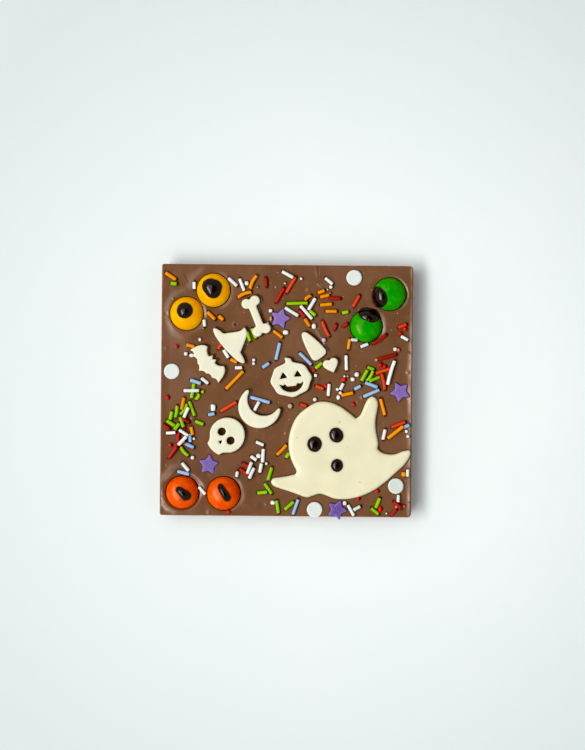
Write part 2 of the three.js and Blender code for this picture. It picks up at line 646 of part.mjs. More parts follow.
// A heart: two round lobes over a point
function drawHeart() {
  const lobe = { x: 1.35, y: 0.9, radius: 1.75 };
  const tip = 3.1;
  const cleft = Math.PI - Math.acos(lobe.x / lobe.radius);
  const lean = Math.atan2(lobe.y + tip, lobe.x);
  const flank = lean - Math.PI + Math.acos(lobe.radius / Math.hypot(lobe.x, lobe.y + tip));
  const shape = new THREE.Shape();
  shape.absarc(lobe.x, lobe.y, lobe.radius, flank, cleft, false);
  shape.absarc(-lobe.x, lobe.y, lobe.radius, Math.PI - cleft, Math.PI - flank, false);
  shape.lineTo(0, -tip);
  return shape;
}

// A five-armed star with rounded tips
function drawStar() {
  const points = [];
  for (let arm = 0; arm < 5; arm += 1) {
    for (const [offset, radius] of [[-9, 0.93], [0, 1], [9, 0.93]]) {
      const angle = deg(72 * arm + offset);
      points.push([STAR_RADIUS * radius * Math.cos(angle), STAR_RADIUS * radius * Math.sin(angle)]);
    }
    const waist = deg(72 * arm + 36);
    points.push([STAR_WAIST * Math.cos(waist), STAR_WAIST * Math.sin(waist)]);
  }
  return polygon(points);
}

function polygon(points) {
  return new THREE.Shape(points.map(([x, y]) => new THREE.Vector2(x, y)));
}

function figureSolid(figure) {
  const outline = placed(figure.draw(), figure);
  const body = toSolid(plate(outline, FIGURE));
  return figure.holes.reduce((rest, hole) => {
    const edge = placed(hole, figure);
    const drill = skin([atHeight(edge, 0), atHeight(edge, CUT_CEILING)]);
    return rest.subtract(toSolid(drill));
  }, body);
}

function discSolid([x, y]) {
  const profile = [
    [0, DISC.low], [DISC_RADIUS, DISC.low], [DISC_RADIUS, DISC.high - DISC.shoulder],
    [DISC_RADIUS - DISC.shoulder, DISC.high], [0, DISC.high],
  ];
  return turned(profile, DISC_SIDES).translate(x, y, 0);
}

function discBed([x, y]) {
  const radius = DISC_RADIUS + CLEARANCE;
  const floor = DISC.low - CLEARANCE;
  const profile = [[0, floor], [radius, floor], [radius, CUT_CEILING], [0, CUT_CEILING]];
  return toSolid(turned(profile, DISC_SIDES).translate(x, y, 0));
}

// The slab with its sprinkles, cut where the larger pieces are set in
function dressedSlab() {
  const raised = [
    ...SWEETS.map(lip),
    ...Object.values(RODS).flat().map((row) => rod(row, 0)),
    ...RIDERS.map((row) => rod(row, RIDER_LIFT)),
    ...GRAINS.map(grain),
  ];
  const beds = [
    bed(ghostOutline(), GHOST),
    ...FIGURES.map((figure) => bed(placed(figure.draw(), figure), FIGURE)),
    ...STARS.map((star) => bed(placed(drawStar(), star), STAR)),
    ...DISCS.map(discBed),
    ...SWEETS.map(sweetBed),
  ];
  const full = raised.reduce((sum, piece) => sum.add(piece), bareSlab());
  return beds.reduce((rest, piece) => rest.subtract(piece), full);
}

// Only the largest body of a solid, without any crumb that a cut left loose
function largestBody(solid) {
  return solid.decompose().reduce((best, body) => (body.volume() > best.volume() ? body : best));
}

const bar = new THREE.Group();

function addPart(name, solid, finish) {
  const mesh = new THREE.Mesh(toGeometry(solid), finish);
  mesh.name = name;
  bar.add(mesh);
}

const milk = material(COLOURS.milkChocolate, 0.4);
const white = material(COLOURS.whiteChocolate, 0.5);
const dark = material(COLOURS.darkChocolate, 0.2);
const sugarWhite = material(COLOURS.sugarWhite, 0.6);
const sugarPurple = material(COLOURS.sugarPurple, 0.7);

addPart('slab', largestBody(dressedSlab()), milk);
addPart('ghost', toSolid(ghostBody()), white);
for (const face of FACE_DOTS) {
  addPart(face.name, toSolid(dot(face, () => GHOST.high)), dark);
}
for (const sweet of SWEETS) {
  const height = (x, y) => SWEET_MIDDLE + swell(sweet.radius, Math.hypot(x - sweet.x, y - sweet.y));
  addPart(`sweet_${sweet.name}`, toSolid(sweetSolid(sweet)), material(sweet.colour, 0.35));
  addPart(`pupil_${sweet.name}`, toSolid(dot(sweet.pupil, height)), dark);
}
for (const figure of FIGURES) {
  addPart(`figure_${figure.name}`, figureSolid(figure), white);
}
STARS.forEach((star, i) => {
  addPart(`star_${i + 1}`, toSolid(plate(placed(drawStar(), star), STAR)), sugarPurple);
});
DISCS.forEach((disc, i) => addPart(`disc_${i + 1}`, toSolid(discSolid(disc)), sugarWhite));

export default bar;
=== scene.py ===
"""A Halloween bar of milk chocolate, seen from straight above.

The bar's slab, its white chocolate figures, its sweets and its sprinkles are made here at their true
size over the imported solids, whose outlines and places are read from the frame. Sizes are in
millimetres until a mesh is made, and +Y is away from the eater.
"""

import math

import bmesh
import bpy
import numpy as np
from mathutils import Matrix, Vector, geometry


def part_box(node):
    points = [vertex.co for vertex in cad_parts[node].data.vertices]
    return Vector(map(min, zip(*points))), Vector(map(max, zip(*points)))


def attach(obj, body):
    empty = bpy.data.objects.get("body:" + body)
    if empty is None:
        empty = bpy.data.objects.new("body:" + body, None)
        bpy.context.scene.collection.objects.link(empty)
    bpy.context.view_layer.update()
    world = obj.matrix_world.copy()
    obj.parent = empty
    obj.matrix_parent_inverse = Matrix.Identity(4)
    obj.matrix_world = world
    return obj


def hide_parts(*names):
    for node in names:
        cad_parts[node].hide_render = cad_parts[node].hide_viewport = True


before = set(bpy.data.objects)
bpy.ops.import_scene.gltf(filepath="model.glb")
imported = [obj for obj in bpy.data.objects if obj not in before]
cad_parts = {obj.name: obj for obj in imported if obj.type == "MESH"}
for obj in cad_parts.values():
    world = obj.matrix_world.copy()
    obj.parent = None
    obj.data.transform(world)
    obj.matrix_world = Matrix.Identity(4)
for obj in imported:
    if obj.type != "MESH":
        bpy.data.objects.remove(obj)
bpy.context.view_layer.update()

# A millimetre in metres, the level of the bar's top, the least divisor, and the distance that
# stands for anything that isn't near
MM = 0.001
TOP = 8.0
TINY = 1e-6
FAR = 9.0

# The slab's outline, and the height and inset of each row of corners down its walls
HALF = 49.84
CORNER_LEFT = 0.9
CORNER_RIGHT = 1.5
EDGE_DROP = 0.3
WALL = (
    (7.3, 0.1), (6.4, 0.18), (5, 0.33), (3.5, 0.48), (2, 0.64), (1, 0.76), (0.45, 0.84), (0.15, 1), (0, 1.3),
)

# Its rim: place and widths of the crest, its height on each side, where it starts and ends to get
# slimmer along Y and by how much, and the shallow gutter inside it
RIM_PLACE = 0.15
RIM_OUTSIDE = 0.3
RIM_INSIDE = 1.15
RIM_LEFT = 0.1
RIM_RIGHT = 0.46
RIM_FRONT = 0.1
RIM_BACK = 0.12
RIM_SLIMMER = (12, 30, 0.45)
GUTTER_DEPTH = 0.05
GUTTER_PLACE = 3
GUTTER_WIDTH = 1.3

# Where its surface has its corners: rows along the edge, rings round the sweets, and a hexagonal grid
# elsewhere, whose step depends on what is near
EDGE_ROWS = (0, 0.07, 0.15, 0.25, 0.37, 0.52, 0.7, 0.9, 1.15, 1.45, 1.8, 2.2)
EDGE_COUNT = 240
SWEET_RINGS = (-1, -0.45, -0.15, 0, 0.1, 0.2, 0.32, 0.46, 0.62, 0.8, 1, 1.22, 1.46, 1.72, 2.05, 2.45, 2.9)
SWEET_COUNT = 150
FINE_STEP = 0.24
ROD_STEP = 0.3
OPEN_STEP = 0.56
HIDDEN_STEP = 1.4
ROD_REACH = 1.1
GRAIN_REACH = 0.5
MARK_REACH = 0.9
FLAT_REACH = 1.4
HIDDEN_DEPTH = 0.7
HEX_ROW = 0.87

# Slow waves by what they make uneven: strength, length and seed
WAVE_COUNT = 20
WAVE_SPREAD = (0.7, 1.5)
WAVES = {
    "rim": (0.16, 17, 3), "rim_fine": (0.08, 4, 4), "rim_place": (0.06, 12, 5), "gutter": (0.3, 25, 6),
    "top": (0.02, 26, 7), "top_fine": (0.003, 4, 8), "wall": (0.02, 7, 21), "edge_line": (0.4, 5, 51),
    "lip": (0.2, 9, 12), "lip_place": (0.1, 8, 11), "ridge": (0.6, 13, 14), "ghost": (0.05, 15, 41),
    "figure": (0.025, 6, 42), "star": (0.015, 2.5, 43), "disc": (0.01, 2.5, 44), "sweet": (0.04, 9, 0),
    "dot_outline": (0.008, 2.2, 0), "dot_top": (0.025, 3.5, 0),
}

# The sugar-shelled sweets
SWEETS = ("yellow_a", "yellow_b", "green_a", "green_b", "orange_a", "orange_b")
SWEET_HEIGHT = 3.2
SWEET_MIDDLE = 8.2
SWEET_BULGE = 0.6
SWEET_STEEPEST = 0.985
SWEET_START = 0.02
SWEET_ROWS = 22
SWEET_SIDES = 64

# How a sweet differs from its CAD node: shift along X and Y, and growth of its radius
SWEET_CHANGES = {
    "yellow_a": (0, 0, -0.05), "yellow_b": (0.05, 0, -0.1), "green_a": (0, -0.1, -0.2),
    "green_b": (0.15, -0.4, -0.35), "orange_a": (-0.05, 0.1, -0.05), "orange_b": (-0.15, 0, -0.05),
}

# The lip of chocolate round each sweet: place of its crest past the sweet, widths inside and outside
# it and height, then the side in degrees where it changes, how far it is drawn in there, how much
# lower it is, and the height of a narrow ring on it
LIPS = {
    "yellow_a": (1.7, 1.1, 2.4, 0.22, 200, 0.1, -0.5, 0), "yellow_b": (1.6, 1, 2.9, 0.48, 178, 0.5, 0.1, 0),
    "green_a": (1.7, 1.1, 2.3, 0.25, 0, 0, 0, 0.22), "green_b": (2.1, 1.6, 2.4, 0.6, 200, 0.2, 0.75, 0),
    "orange_a": (2.5, 1.8, 2.3, 0.9, 225, 0.38, 0.3, 0.36), "orange_b": (1.8, 1.1, 2.2, 0.3, 200, 0.2, 0, 0),
}
RING_PLACE = 1.25
RING_WIDTH = 0.48

# The hollow that a sweet sits in, and the chocolate that creeps up a rod
HOLLOW_DEPTH = 0.5
HOLLOW_WIDTH = 0.2
HOLLOW_FLOOR = 0.4
CREEP_HEIGHT = 0.03
CREEP_WIDTH = 0.9

# The chocolate at a flat piece: the ridge round it, the dip where they meet and the hollow under it
RIDGE_HEIGHT = 0.07
RIDGE_PLACE = 1.2
RIDGE_WIDTHS = (0.7, 1.4)
CONTACT_DEPTH = 0.16
CONTACT_WIDTH = 0.16
SUNK = 0.5

# The way away from the window, and the painted shadow where pieces meet the chocolate: a dark line
# shifted to their side away from the window, and painted shade in cracks and in the crater's pit
FAR_WAY = np.array((0.94, 0.33))
PAINTED_SHADOW_SHIFT = 0.21 * FAR_WAY
PAINTED_SHADOW_WIDTH = 0.32
CRACK_SHADE_WIDTH = 0.28
CRACK_SHADE_DARKNESS = 0.8

# The drops of dark chocolate, with the shares of their outline at which their rings of corners lie
DOT_HEIGHT = 1.13
DOT_GROWTH = 1.03
DOT_LIFT = 0.16
DOT_ROUND = 0.8
DOT_SHARES = (0.15, 0.3, 0.45, 0.6, 0.73, 0.84, 0.92, 0.97, 1.0)
DOT_FOOT = (0.96, -0.4)
PUPIL_SPREAD = 1.05
PUPIL_DENTS = {"yellow_b": (303, 0.05, 10)}
GHOST_DOTS = ("ghost_eye_left", "ghost_eye_right", "ghost_mouth")

# The pupils as circles that an outline is drawn round: x, y and radius of each
PUPILS = {
    "yellow_a": [(-30.7, 41, 3.15), (-28.8, 40.7, 3), (-29.3, 39.05, 3)],
    "yellow_b": [(-40.5, 31.3, 3.25)],
    "green_a": [(35.7, 39.9, 1.65), (36.35, 37.6, 2.9), (36.6, 36.1, 2.9)],
    "green_b": [(30.45, 30.85, 2.35), (31.3, 31.15, 2.1), (33.7, 29.95, 2.85), (35, 29.3, 1.65)],
    "orange_a": [(-42.1, -39.5, 1.4), (-39.2, -41.9, 1.95), (-39.8, -43.4, 0.6)],
    "orange_b": [(-25.7, -38.2, 1.25), (-23.1, -42.5, 1.55)],
}

# The flat pieces by kind: top, width and drop of the rounding of its edge, steps along the outline and
# near it, how much chocolate it pushed up, and how far its painted shadow reaches
FLATS = {
    "ghost": (9.75, 1.3, 0.75, 0.35, 0.3, 1.3, 0.2),
    "figure": (9.45, 0.55, 0.5, 0.35, 0.25, 1.0, 0.75),
    "star": (8.85, 0.4, 0.3, 0.2, 0.25, 0.5, 0.05),
    "disc": (8.75, 0.35, 0.28, 0.35, 0.25, 0.6, 0.1),
}
FIGURES = ("bat", "hat", "bone", "skull", "moon", "pumpkin", "corn", "heart")
STARS = ("star_1", "star_2", "star_3", "star_4")
DISCS = ("disc_1", "disc_2", "disc_3", "disc_4")
FLAT_INNER_STEP = 0.8
# The width of the painted highlight along a flat piece's edge
FLAT_RIM_HIGHLIGHT_WIDTH = 0.45
STAR_NARROWER = 0.5
STAR_LONGER = 0.015
SHADES = {
    "star_1": 0.1, "star_2": 0.3, "star_3": 0.5, "star_4": 0.9,
    "disc_1": 0.1, "disc_2": 0.1, "disc_3": 0.7, "disc_4": 0.2,
}
GHOST_SPOTS = [(21.1, -12.2, 0.3), (4.3, -18.6, 0.15), (29.4, -36, 0.2), (24.4, -22, 0.1)]

# Colours from 0 to 255: each sweet's light and deep tone, the painted shade of its side away from the
# window, its pale spots of wear and painted sheen and how strong they are, its gloss and the gloss's tint,
# and each sprinkle's light and deep tone with its roughness
SHELL_LOOKS = {
    "yellow": ((253, 180, 0), (248, 166, 0), (246, 160, 0), (255, 200, 10), 0.15, 0.15, (1, 1, 0.3)),
    "green": ((26, 162, 0), (12, 144, 0), (12, 138, 0), (104, 200, 56), 0.3, 0.3, (0.85, 1, 0.35)),
    "orange": ((242, 92, 12), (226, 68, 6), (192, 33, 6), (252, 150, 60), 0.15, 0.3, (1, 1, 0.55)),
}
SPRINKLE_LOOKS = {
    "green": ((156, 210, 8), (138, 198, 2), 0.4), "blue": ((160, 198, 238), (146, 186, 229), 0.4),
    "dark_red": ((192, 40, 32), (162, 28, 25), 0.4), "bright_red": ((237, 78, 40), (222, 58, 32), 0.4),
    "orange": ((252, 156, 12), (242, 138, 6), 0.4), "white": ((243, 247, 244), (232, 236, 231), 0.4),
    "tan": ((212, 182, 142), (190, 156, 118), 0.4), "lilac": ((214, 190, 214), (206, 180, 208), 0.4),
    "red": ((248, 38, 28), (230, 28, 24), 0.25), "salmon": ((230, 134, 96), (218, 116, 82), 0.4),
}
CRUMB_LOOK = ((226, 200, 170), (160, 116, 82), 0.4)

# The room: its lamps' azimuth and elevation in degrees and distance in metres, size and power, the
# light from its walls and its dimmer ceiling, and the film's black level
LAMPS = {"window": ((200, 50, 3), (2.9, 0.65), 54), "bright_wall": ((174, 60, 3), (3.3, 1.8), 37)}
LAMP_COLOUR = (1.0, 0.995, 0.98)
ROOM_COLOUR = (0.96, 0.99, 1.0, 1)
WALL_LIGHT = 0.5
CEILING_LIGHT = 0.06
FILM_BLACK = 0.011
CAMERA_PLACE = (2.32, 6.21)
CAMERA_DISTANCE = 661
CAMERA_TURN = 0.55
TABLE_HALF = 1.5

# The sprinkles: how deep they are sunk, how far a rod settles into those under it, and their forms, a
# rod's blunt end as distance from it and share of the thickness
ROD_RADIUS = 0.66
ROD_SIZES = (0.95, 1.04)
ROD_SINK = 0.2
ROD_SIDES = 12
ROD_POINTS = 9
ROD_BLUNT = ((0.0, 0.66), (0.05, 0.82), (0.16, 0.94), (0.34, 1.0))
RIDE_CLEARANCE = 0.92
SETTLED = 1
SETTLED_SHARE = 0.3
TILT_LIMIT = 1.5
GRAIN_SINK = 0.2
GRAIN_TALL = 0.92
GRAIN_SIDES = 12
GRAIN_ROWS = 8
ROUND_GRAINS = ("red", "lilac", "tan")
CRUMB_COUNT = 70
CRUMB_SIZE = (0.18, 0.42)
CRUMB_REACH = 47.5

# Sprinkle rods by colour, the lowest ones first: x and y of one end, x and y of the other, and the
# bow of the middle to the left of the way
RODS = {
    "green": [
        (-46.3, 42.1, -43.9, 41.9), (-0.3, 34.5, 8.1, 34.8), (9, 31.8, 11.2, 29.9), (21.7, 31, 24.2, 31.5),
        (-36.6, 2.5, -37.6, -3.3), (-34.6, -1.6, -36, -3.9, 0.3), (-38.5, -4.6, -36.3, -10.3),
        (-39.4, -5.6, -42, -9.9, 0.4), (-43.3, -6.4, -43.9, -11, 0.2), (-45.3, -8.7, -46, -12),
        (-47.2, -12.3, -44, -14.4), (-42.3, -13.4, -44.1, -15.9), (-42, -10.9, -40.6, -14.8),
        (-36.1, -12.4, -32.8, -13.7), (-41.7, -22.6, -38.7, -26.1, -0.4), (-15.9, 23.1, -14.6, 19.5),
        (-14, 24.5, -12.2, 20.7), (11.4, 8.9, 14, 11.2), (32, 9.6, 34.7, 8.6), (32, 8.5, 29.7, 4.1),
        (34.1, 8.2, 31.7, 4.2, 0.4), (32.7, 4, 37, 5.8), (-5.5, -30.5, -7, -35.6), (-8.3, -36.9, -5.5, -40.9),
        (-11.2, -40.7, -7.3, -40.2), (-3.5, -43.6, -2.7, -48.6), (3.3, -44, -0.3, -47.2),
        (1.3, -24.7, 0, -26.6), (37.4, -42.3, 35.8, -46.2), (34, -46.2, 37, -48.6),
    ],
    "blue": [
        (-38.1, 3.9, -33.9, 2.5), (-2.8, 18.9, -4.3, 12.2), (-9.6, 9, -7, 10.9), (5, 15, 9.8, 10.4),
        (-14.2, -2.7, -6.6, -4.8), (-31, -9.9, -28.4, -9.4), (-38.3, -17.5, -37.9, -20.8),
        (-40.2, -21.2, -36.5, -22.9), (-42.9, -32.3, -38.2, -33.5), (31.1, 3.5, 36, 1.7),
        (26.9, 0.8, 29.4, 2.1), (30.5, -2.1, 36.8, 0.7), (46.5, -14.1, 48.8, -13.2), (5.1, -43.1, 3, -49.1),
    ],
    "dark_red": [
        (-8.7, 44.6, -8.3, 41.2), (-1.4, 40.6, -4.6, 34.9), (16.8, 36.8, 21, 36.7), (4.8, 31.8, 7.1, 29),
        (19.5, 26.4, 18.8, 24.4), (22, 25.6, 24, 26.8), (33.8, 18.9, 39.3, 22.6, -0.3),
        (36.3, 12.7, 43.3, 14.7),
        (-41.2, -11.3, -38.4, -13), (-48.4, -13.9, -46.1, -15.7), (-42.3, -16.7, -42.6, -20.7, -0.3),
        (-44.2, -22.2, -39.9, -20.8), (-43.2, -22.6, -46.5, -27.1), (-17.1, -29, -14.7, -30.3),
        (-18.2, -31.2, -14.7, -33.6), (42.8, -43.7, 45, -45.1), (43.9, -46.6, 41.8, -49.1),
        (45.2, -44.8, 45.6, -46.4),
    ],
    "bright_red": [
        (3.2, 45, -0.4, 38.8), (13.9, 27.7, 16.7, 21.7, -0.2), (28.6, 38, 26.1, 33.4), (44, 25.4, 47.3, 26.7),
        (-25.8, 18.4, -27.3, 16.2), (-26.1, -8.5, -19.8, -4.7), (11.5, 2, 14.7, 0.8), (35.3, 7.2, 41, 9),
        (37.5, 7.1, 39, 0.8, 0.2), (41.7, -14.2, 47.2, -12), (5.6, -5.3, 8, -6.1),
    ],
    "orange": [
        (-48.4, 46.3, -44.2, 43.6), (-31.6, 30.9, -28.6, 28), (-27.1, 29.4, -25.3, 27.8),
        (-12.2, 45.5, -14.8, 40.2, -0.4), (-19.6, 36.7, -14.3, 38.9, 0.5), (12.1, 38.8, 14.7, 39.8),
        (13, 37.2, 16.6, 38.1), (13, 34, 17.7, 34.5), (15.2, 31.6, 19.6, 31.6), (7, 35.9, 9.4, 37.8, 0.3),
        (7, 28.5, 9, 25.6), (-39.8, 17.9, -36.6, 17), (-22.3, 12.2, -19.7, 11), (-24, 0.4, -17.2, 7.5),
        (-5.4, 23.7, -1.8, 21), (24.9, 20.7, 24.3, 16.6), (-40.5, -3.2, -41.5, -7.9),
        (-37.7, -14.7, -37, -17.9), (-3.6, -25.5, 0.2, -21.5, -0.2), (21.7, -1.7, 26.4, -0.6),
        (37.3, -2.9, 39.1, -9.3), (40.3, -18.6, 46.3, -13.7),
    ],
    "white": [
        (-37, 42.7, -36.9, 39.9), (-32.9, 27.8, -32.6, 25.1), (-23.4, 44.4, -20, 41.3),
        (-19, 44.2, -17.1, 39.4),
        (-2.2, 47.2, 2.2, 44.8), (14.9, 44.8, 17.9, 42.4), (11.1, 36.7, 8.4, 32), (5.2, 33.7, 9.9, 28.5),
        (-0.9, 32.9, 4.4, 29.7), (-33.8, 4.7, -31, 2.5), (-25.1, 15.9, -23.1, 12.8), (-20.5, 8.9, -17.7, 8.9),
        (23.5, 14.2, 23.7, 8.3), (22.5, 3.1, 21.3, 0.5), (16.9, 2.8, 16.6, -2), (25.4, 20.4, 28, 20.3),
        (29.2, 17.6, 32.2, 18.8), (45.2, 22, 48, 20.5), (42.7, 12.2, 40, 2.7, -0.2),
        (-47.6, -17.3, -43.8, -17), (-42.3, -15.9, -38.7, -18.2), (-10.8, -4.5, -12.6, -8),
        (-11.9, -20.4, -8.8, -21.7), (-8.9, -23.2, -9.2, -28.6), (-13.9, -26.1, -11.6, -27.7),
        (-12.6, -30.7, -14.4, -34.9), (-9.6, -28.9, -10.3, -32.6), (-19.1, -32.2, -19.4, -34.4),
        (-41.1, -29, -38.4, -32.1), (-34.3, -38.4, -31.7, -41.4), (39.3, -15, 38.4, -19.1),
        (24.8, -45.1, 27.2, -49.3), (27, -47, 29.7, -45.6), (44.8, -40.9, 44.6, -43.7),
        (48.4, -30.8, 48.3, -33.6),
        (-40.7, -0.4, -34.6, -0.3), (-38.7, -7, -40.5, -11), (-39.4, -18.5, -42.6, -21.9),
        (-13.5, -28.4, -15.2, -33),
    ],
}

# Grains and broken bits by colour: x, y, breadth and, where it isn't round, depth
GRAINS = {
    "white": [
        (-16.2, 42.4, 1.6), (17.2, 41.2, 1.3), (10.6, 25.6, 1.8, 2.2), (-6.6, 31.6, 1.4), (5.4, 44.4, 1),
        (-37.6, 13.6, 2.2, 1.5), (-40, 14.2, 1.5), (-34.5, 19.9, 1, 1.3), (-13.1, 12, 1.2),
        (-13.1, 10.6, 1.1),
        (-0.6, 23.1, 2.1, 1.7), (20.2, 0.7, 1.2), (21.4, -0.7, 1.3), (20.6, -2.5, 1.5, 1.9),
        (11.3, -3.4, 1.5),
        (26.2, 4.7, 1.5), (27.8, 6.6, 2), (42.9, 16.8, 1.4), (-36.5, -19.4, 1), (-29, -7, 1.9, 2.6),
        (-10.8, -26, 1.9), (-7.7, -29, 1.1), (-5, -44.5, 2, 1.7), (-37, -26.9, 1.4), (47.7, -15.7, 1.2),
        (48.3, -17.7, 1.2), (23.5, -44.4, 1.4, 1.6), (11.5, 6.1, 1.2), (-1, 42.5, 0.75), (40.1, -48.3, 0.7),
        (15.9, 40.2, 0.55), (22.9, 5.9, 0.7), (-14.4, 36, 0.6), (-35, 15.8, 0.5, 1.2),
    ],
    "tan": [
        (1.5, -6.1, 1.9), (-7.7, 26.5, 1.1), (-6.5, 28.5, 1, 1.9), (24.2, 5.9, 0.8), (35.5, 12.5, 1.3),
        (-11.9, 40.9, 0.7), (-33.2, 24.3, 0.6),
    ],
    "lilac": [(14.6, 20.2, 1.8)],
    "red": [
        (-43.8, 17.1, 1.4), (46.7, 24.9, 1.4), (44.9, 23.1, 1.4), (10.8, 8, 1.3), (15.5, 2, 1.2, 1.6),
        (-47.2, -3.2, 1.6), (-45.9, -22, 1.4), (26.5, -5.2, 1.4), (-22.5, -48.3, 1.3), (28.8, -42.6, 1.3),
        (36.3, -39.5, 1.4), (37.5, -46.6, 1.5, 2.4), (38.8, 9.9, 1.4), (37, 10.6, 1.7), (22.7, 4.6, 1.7),
        (-13.4, -3.9, 0.8), (-40.2, -15.5, 0.9), (48.6, -44, 0.7),
    ],
    "salmon": [(44.2, 16.5, 1.3), (47, -45.4, 1), (44, -45.7, 1.2)],
    "orange": [(46.7, -32.7, 1.8), (16.9, 38.8, 0.7), (-28, 10, 0.5)],
    "green": [(-33.2, -0.8, 1.3), (-45.4, 36, 0.6)],
}

# Broad swells of the chocolate: x, y, radius and height
SWELLS = [(-36.5, 20, 8, 0.5), (-33, 4, 7, 0.4), (40, 22, 7, 0.15), (-30, -31, 6, 0.1)]

# Marks in it: x, y, radius and height, a pit where it is negative
MARKS = [
    (-48, 30, 0.7, -0.25), (-5.2, 40.9, 0.4, -0.3), (-11.9, 48.1, 0.3, -0.2), (-48.1, -30, 0.5, -0.25),
    (-48.6, -42.2, 0.5, -0.25), (-0.9, -17, 0.5, -0.2), (49, 15.7, 0.5, -0.3), (49, -12.1, 0.5, -0.3),
    (47.7, -3, 0.4, -0.2), (7, 40, 0.7, -0.22), (-48.9, 44.1, 0.6, 0.2), (-47.8, 16.3, 0.6, 0.2),
    (-49, -13.7, 0.6, 0.2), (-37.2, -11.3, 0.5, 0.2), (30, -2.4, 0.6, 0.25), (28.3, -4.5, 0.6, 0.2),
    (-30.4, -48.6, 0.6, 0.2), (-7.5, -45.2, 0.6, 0.2), (48, 7.7, 0.7, 0.3),
]

# Scratches and slivers: both ends, half-width and height
SCRATCHES = [
    (-41.1, 46, -39.3, 42.7, 0.35, -0.08), (-10.1, -44.8, -10.1, -47, 0.25, -0.07),
    (11.2, 49.4, 11.7, 45.3, 0.25, 0.12), (11.9, 49.4, 12.3, 46, 0.25, -0.15),
    (12.1, 42.3, 13.6, 41.3, 0.3, 0.2),
    (12, 24, 15.2, 19, 0.7, 0.2), (15.2, 19, 17, 15.5, 0.6, 0.1), (12.5, 8, 12.3, 3, 0.8, 0.1),
    (-11, -16, -8, -16.2, 0.7, 0.1), (31, 22, 36, 25, 0.6, 0.06), (-30, -24, -24, -27, 0.8, 0.06),
]

# A small crater: its place and radius, and the height and width of its edge and of its pit
CRATER_PLACE = (-20.4, 26)
CRATER_RADIUS = 0.95
CRATER_RISE = 0.14
CRATER_RISE_WIDTH = 0.35
CRATER_DEPTH = 0.5
CRATER_WIDTH = 0.5


def waves(x, y, length, seed):
    """A smooth random field with a spread of one: a sum of plane waves of about one length."""
    rng = np.random.default_rng(seed)
    total = np.zeros(np.broadcast(x, y).shape)
    for _ in range(WAVE_COUNT):
        angle, phase = rng.uniform(0, 2 * math.pi, 2)
        pace = 2 * math.pi / (length * rng.uniform(*WAVE_SPREAD))
        total += np.sin(pace * (x * math.cos(angle) + y * math.sin(angle)) + phase)
    return total / math.sqrt(WAVE_COUNT / 2)


def uneven(kind, x, y, more_seed=0):
    """The slow waves of one kind at each place."""
    strength, length, seed = WAVES[kind]
    return strength * waves(x, y, length, seed + more_seed)


def seed_of(name):
    """A number that belongs to a name."""
    return sum(map(ord, name))


def bump(distance, width):
    return np.exp(-((distance / width) ** 2))


def bumps(x, y, rows):
    """The sum of round bumps, each a row of its x, y, radius and height."""
    return sum(rise * bump(np.hypot(x - row_x, y - row_y), radius) for row_x, row_y, radius, rise in rows)


def circle(sides):
    """Points round a circle with a radius of one."""
    angles = np.arange(sides) / sides * 2 * math.pi
    return np.column_stack([np.cos(angles), np.sin(angles)])


def hexagons(low, high, step):
    """Points at an even step between two corners, each second row shifted by half a step."""
    columns = np.arange(low[0], high[0], step)
    rows = np.arange(low[1], high[1], step * HEX_ROW)
    grid_x, grid_y = np.meshgrid(columns, rows)
    grid_x[1::2] += step / 2
    return np.column_stack([grid_x.ravel(), grid_y.ravel()])


def near(points, shape, reach):
    """Whether each point lies within a reach of a shape's bounding box."""
    low, high = shape.min(axis=0) - reach, shape.max(axis=0) + reach
    return np.all((points > low) & (points < high), axis=1)


def to_segments(points, starts, ends):
    """The distance from each point to the nearest of the segments."""
    nearest = np.full(len(points), np.inf)
    for start, end in zip(starts, ends):
        way = end - start
        share = np.clip(((points - start) @ way) / max(way @ way, TINY), 0, 1)
        nearest = np.minimum(nearest, np.hypot(*(points - start - share[:, None] * way).T))
    return nearest


def to_loops(points, loops):
    return np.min([to_segments(points, loop, np.roll(loop, -1, axis=0)) for loop in loops], axis=0)


def to_scratches(points, rows):
    return to_segments(points, [np.array(row[:2]) for row in rows], [np.array(row[2:4]) for row in rows])


def to_crater(points):
    return np.hypot(*(points - CRATER_PLACE).T)


def inside(points, loop):
    """Whether each point is inside a closed loop."""
    x, y = points.T
    result = np.zeros(len(points), bool)
    for (x1, y1), (x2, y2) in zip(loop, np.roll(loop, -1, axis=0)):
        if y1 != y2:
            crossing = x1 + (y - y1) * (x2 - x1) / (y2 - y1)
            result ^= ((y1 > y) != (y2 > y)) & (x < crossing)
    return result


def within_loops(points, loops):
    """Whether each point is inside the first loop and outside the others."""
    result = inside(points, loops[0])
    for hole in loops[1:]:
        result &= ~inside(points, hole)
    return result


def placed(name, data):
    """A new object in the scene."""
    item = bpy.data.objects.new(name, data)
    bpy.context.scene.collection.objects.link(item)
    return item


def make(name, points, faces, material):
    """A named smooth mesh that rides on the bar's body, from points in millimetres."""
    mesh = bpy.data.meshes.new(name)
    mesh.from_pydata((np.asarray(points) * MM).tolist(), [], faces)
    mesh.validate()
    turned = bmesh.new()
    turned.from_mesh(mesh)
    bmesh.ops.recalc_face_normals(turned, faces=turned.faces)
    turned.to_mesh(mesh)
    turned.free()
    mesh.shade_smooth()
    mesh.materials.append(material)
    piece = placed(name, mesh)
    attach(piece, "root")
    return piece


def marked(piece, name, values):
    """Give each corner of a piece a value for its material."""
    layer = piece.data.attributes.new(name, "FLOAT", "POINT")
    layer.data.foreach_set("value", values)


def between(rings):
    """The faces that join neighbouring rings of corner numbers."""
    faces = []
    for ring, following in zip(rings, rings[1:]):
        for i in range(len(ring)):
            after = (i + 1) % len(ring)
            faces.append((ring[i], following[i], following[after], ring[after]))
    return faces


def stacked(count, sides, start=0):
    """The corner numbers of rings that follow each other in one list of points."""
    return [range(start + ring * sides, start + (ring + 1) * sides) for ring in range(count)]


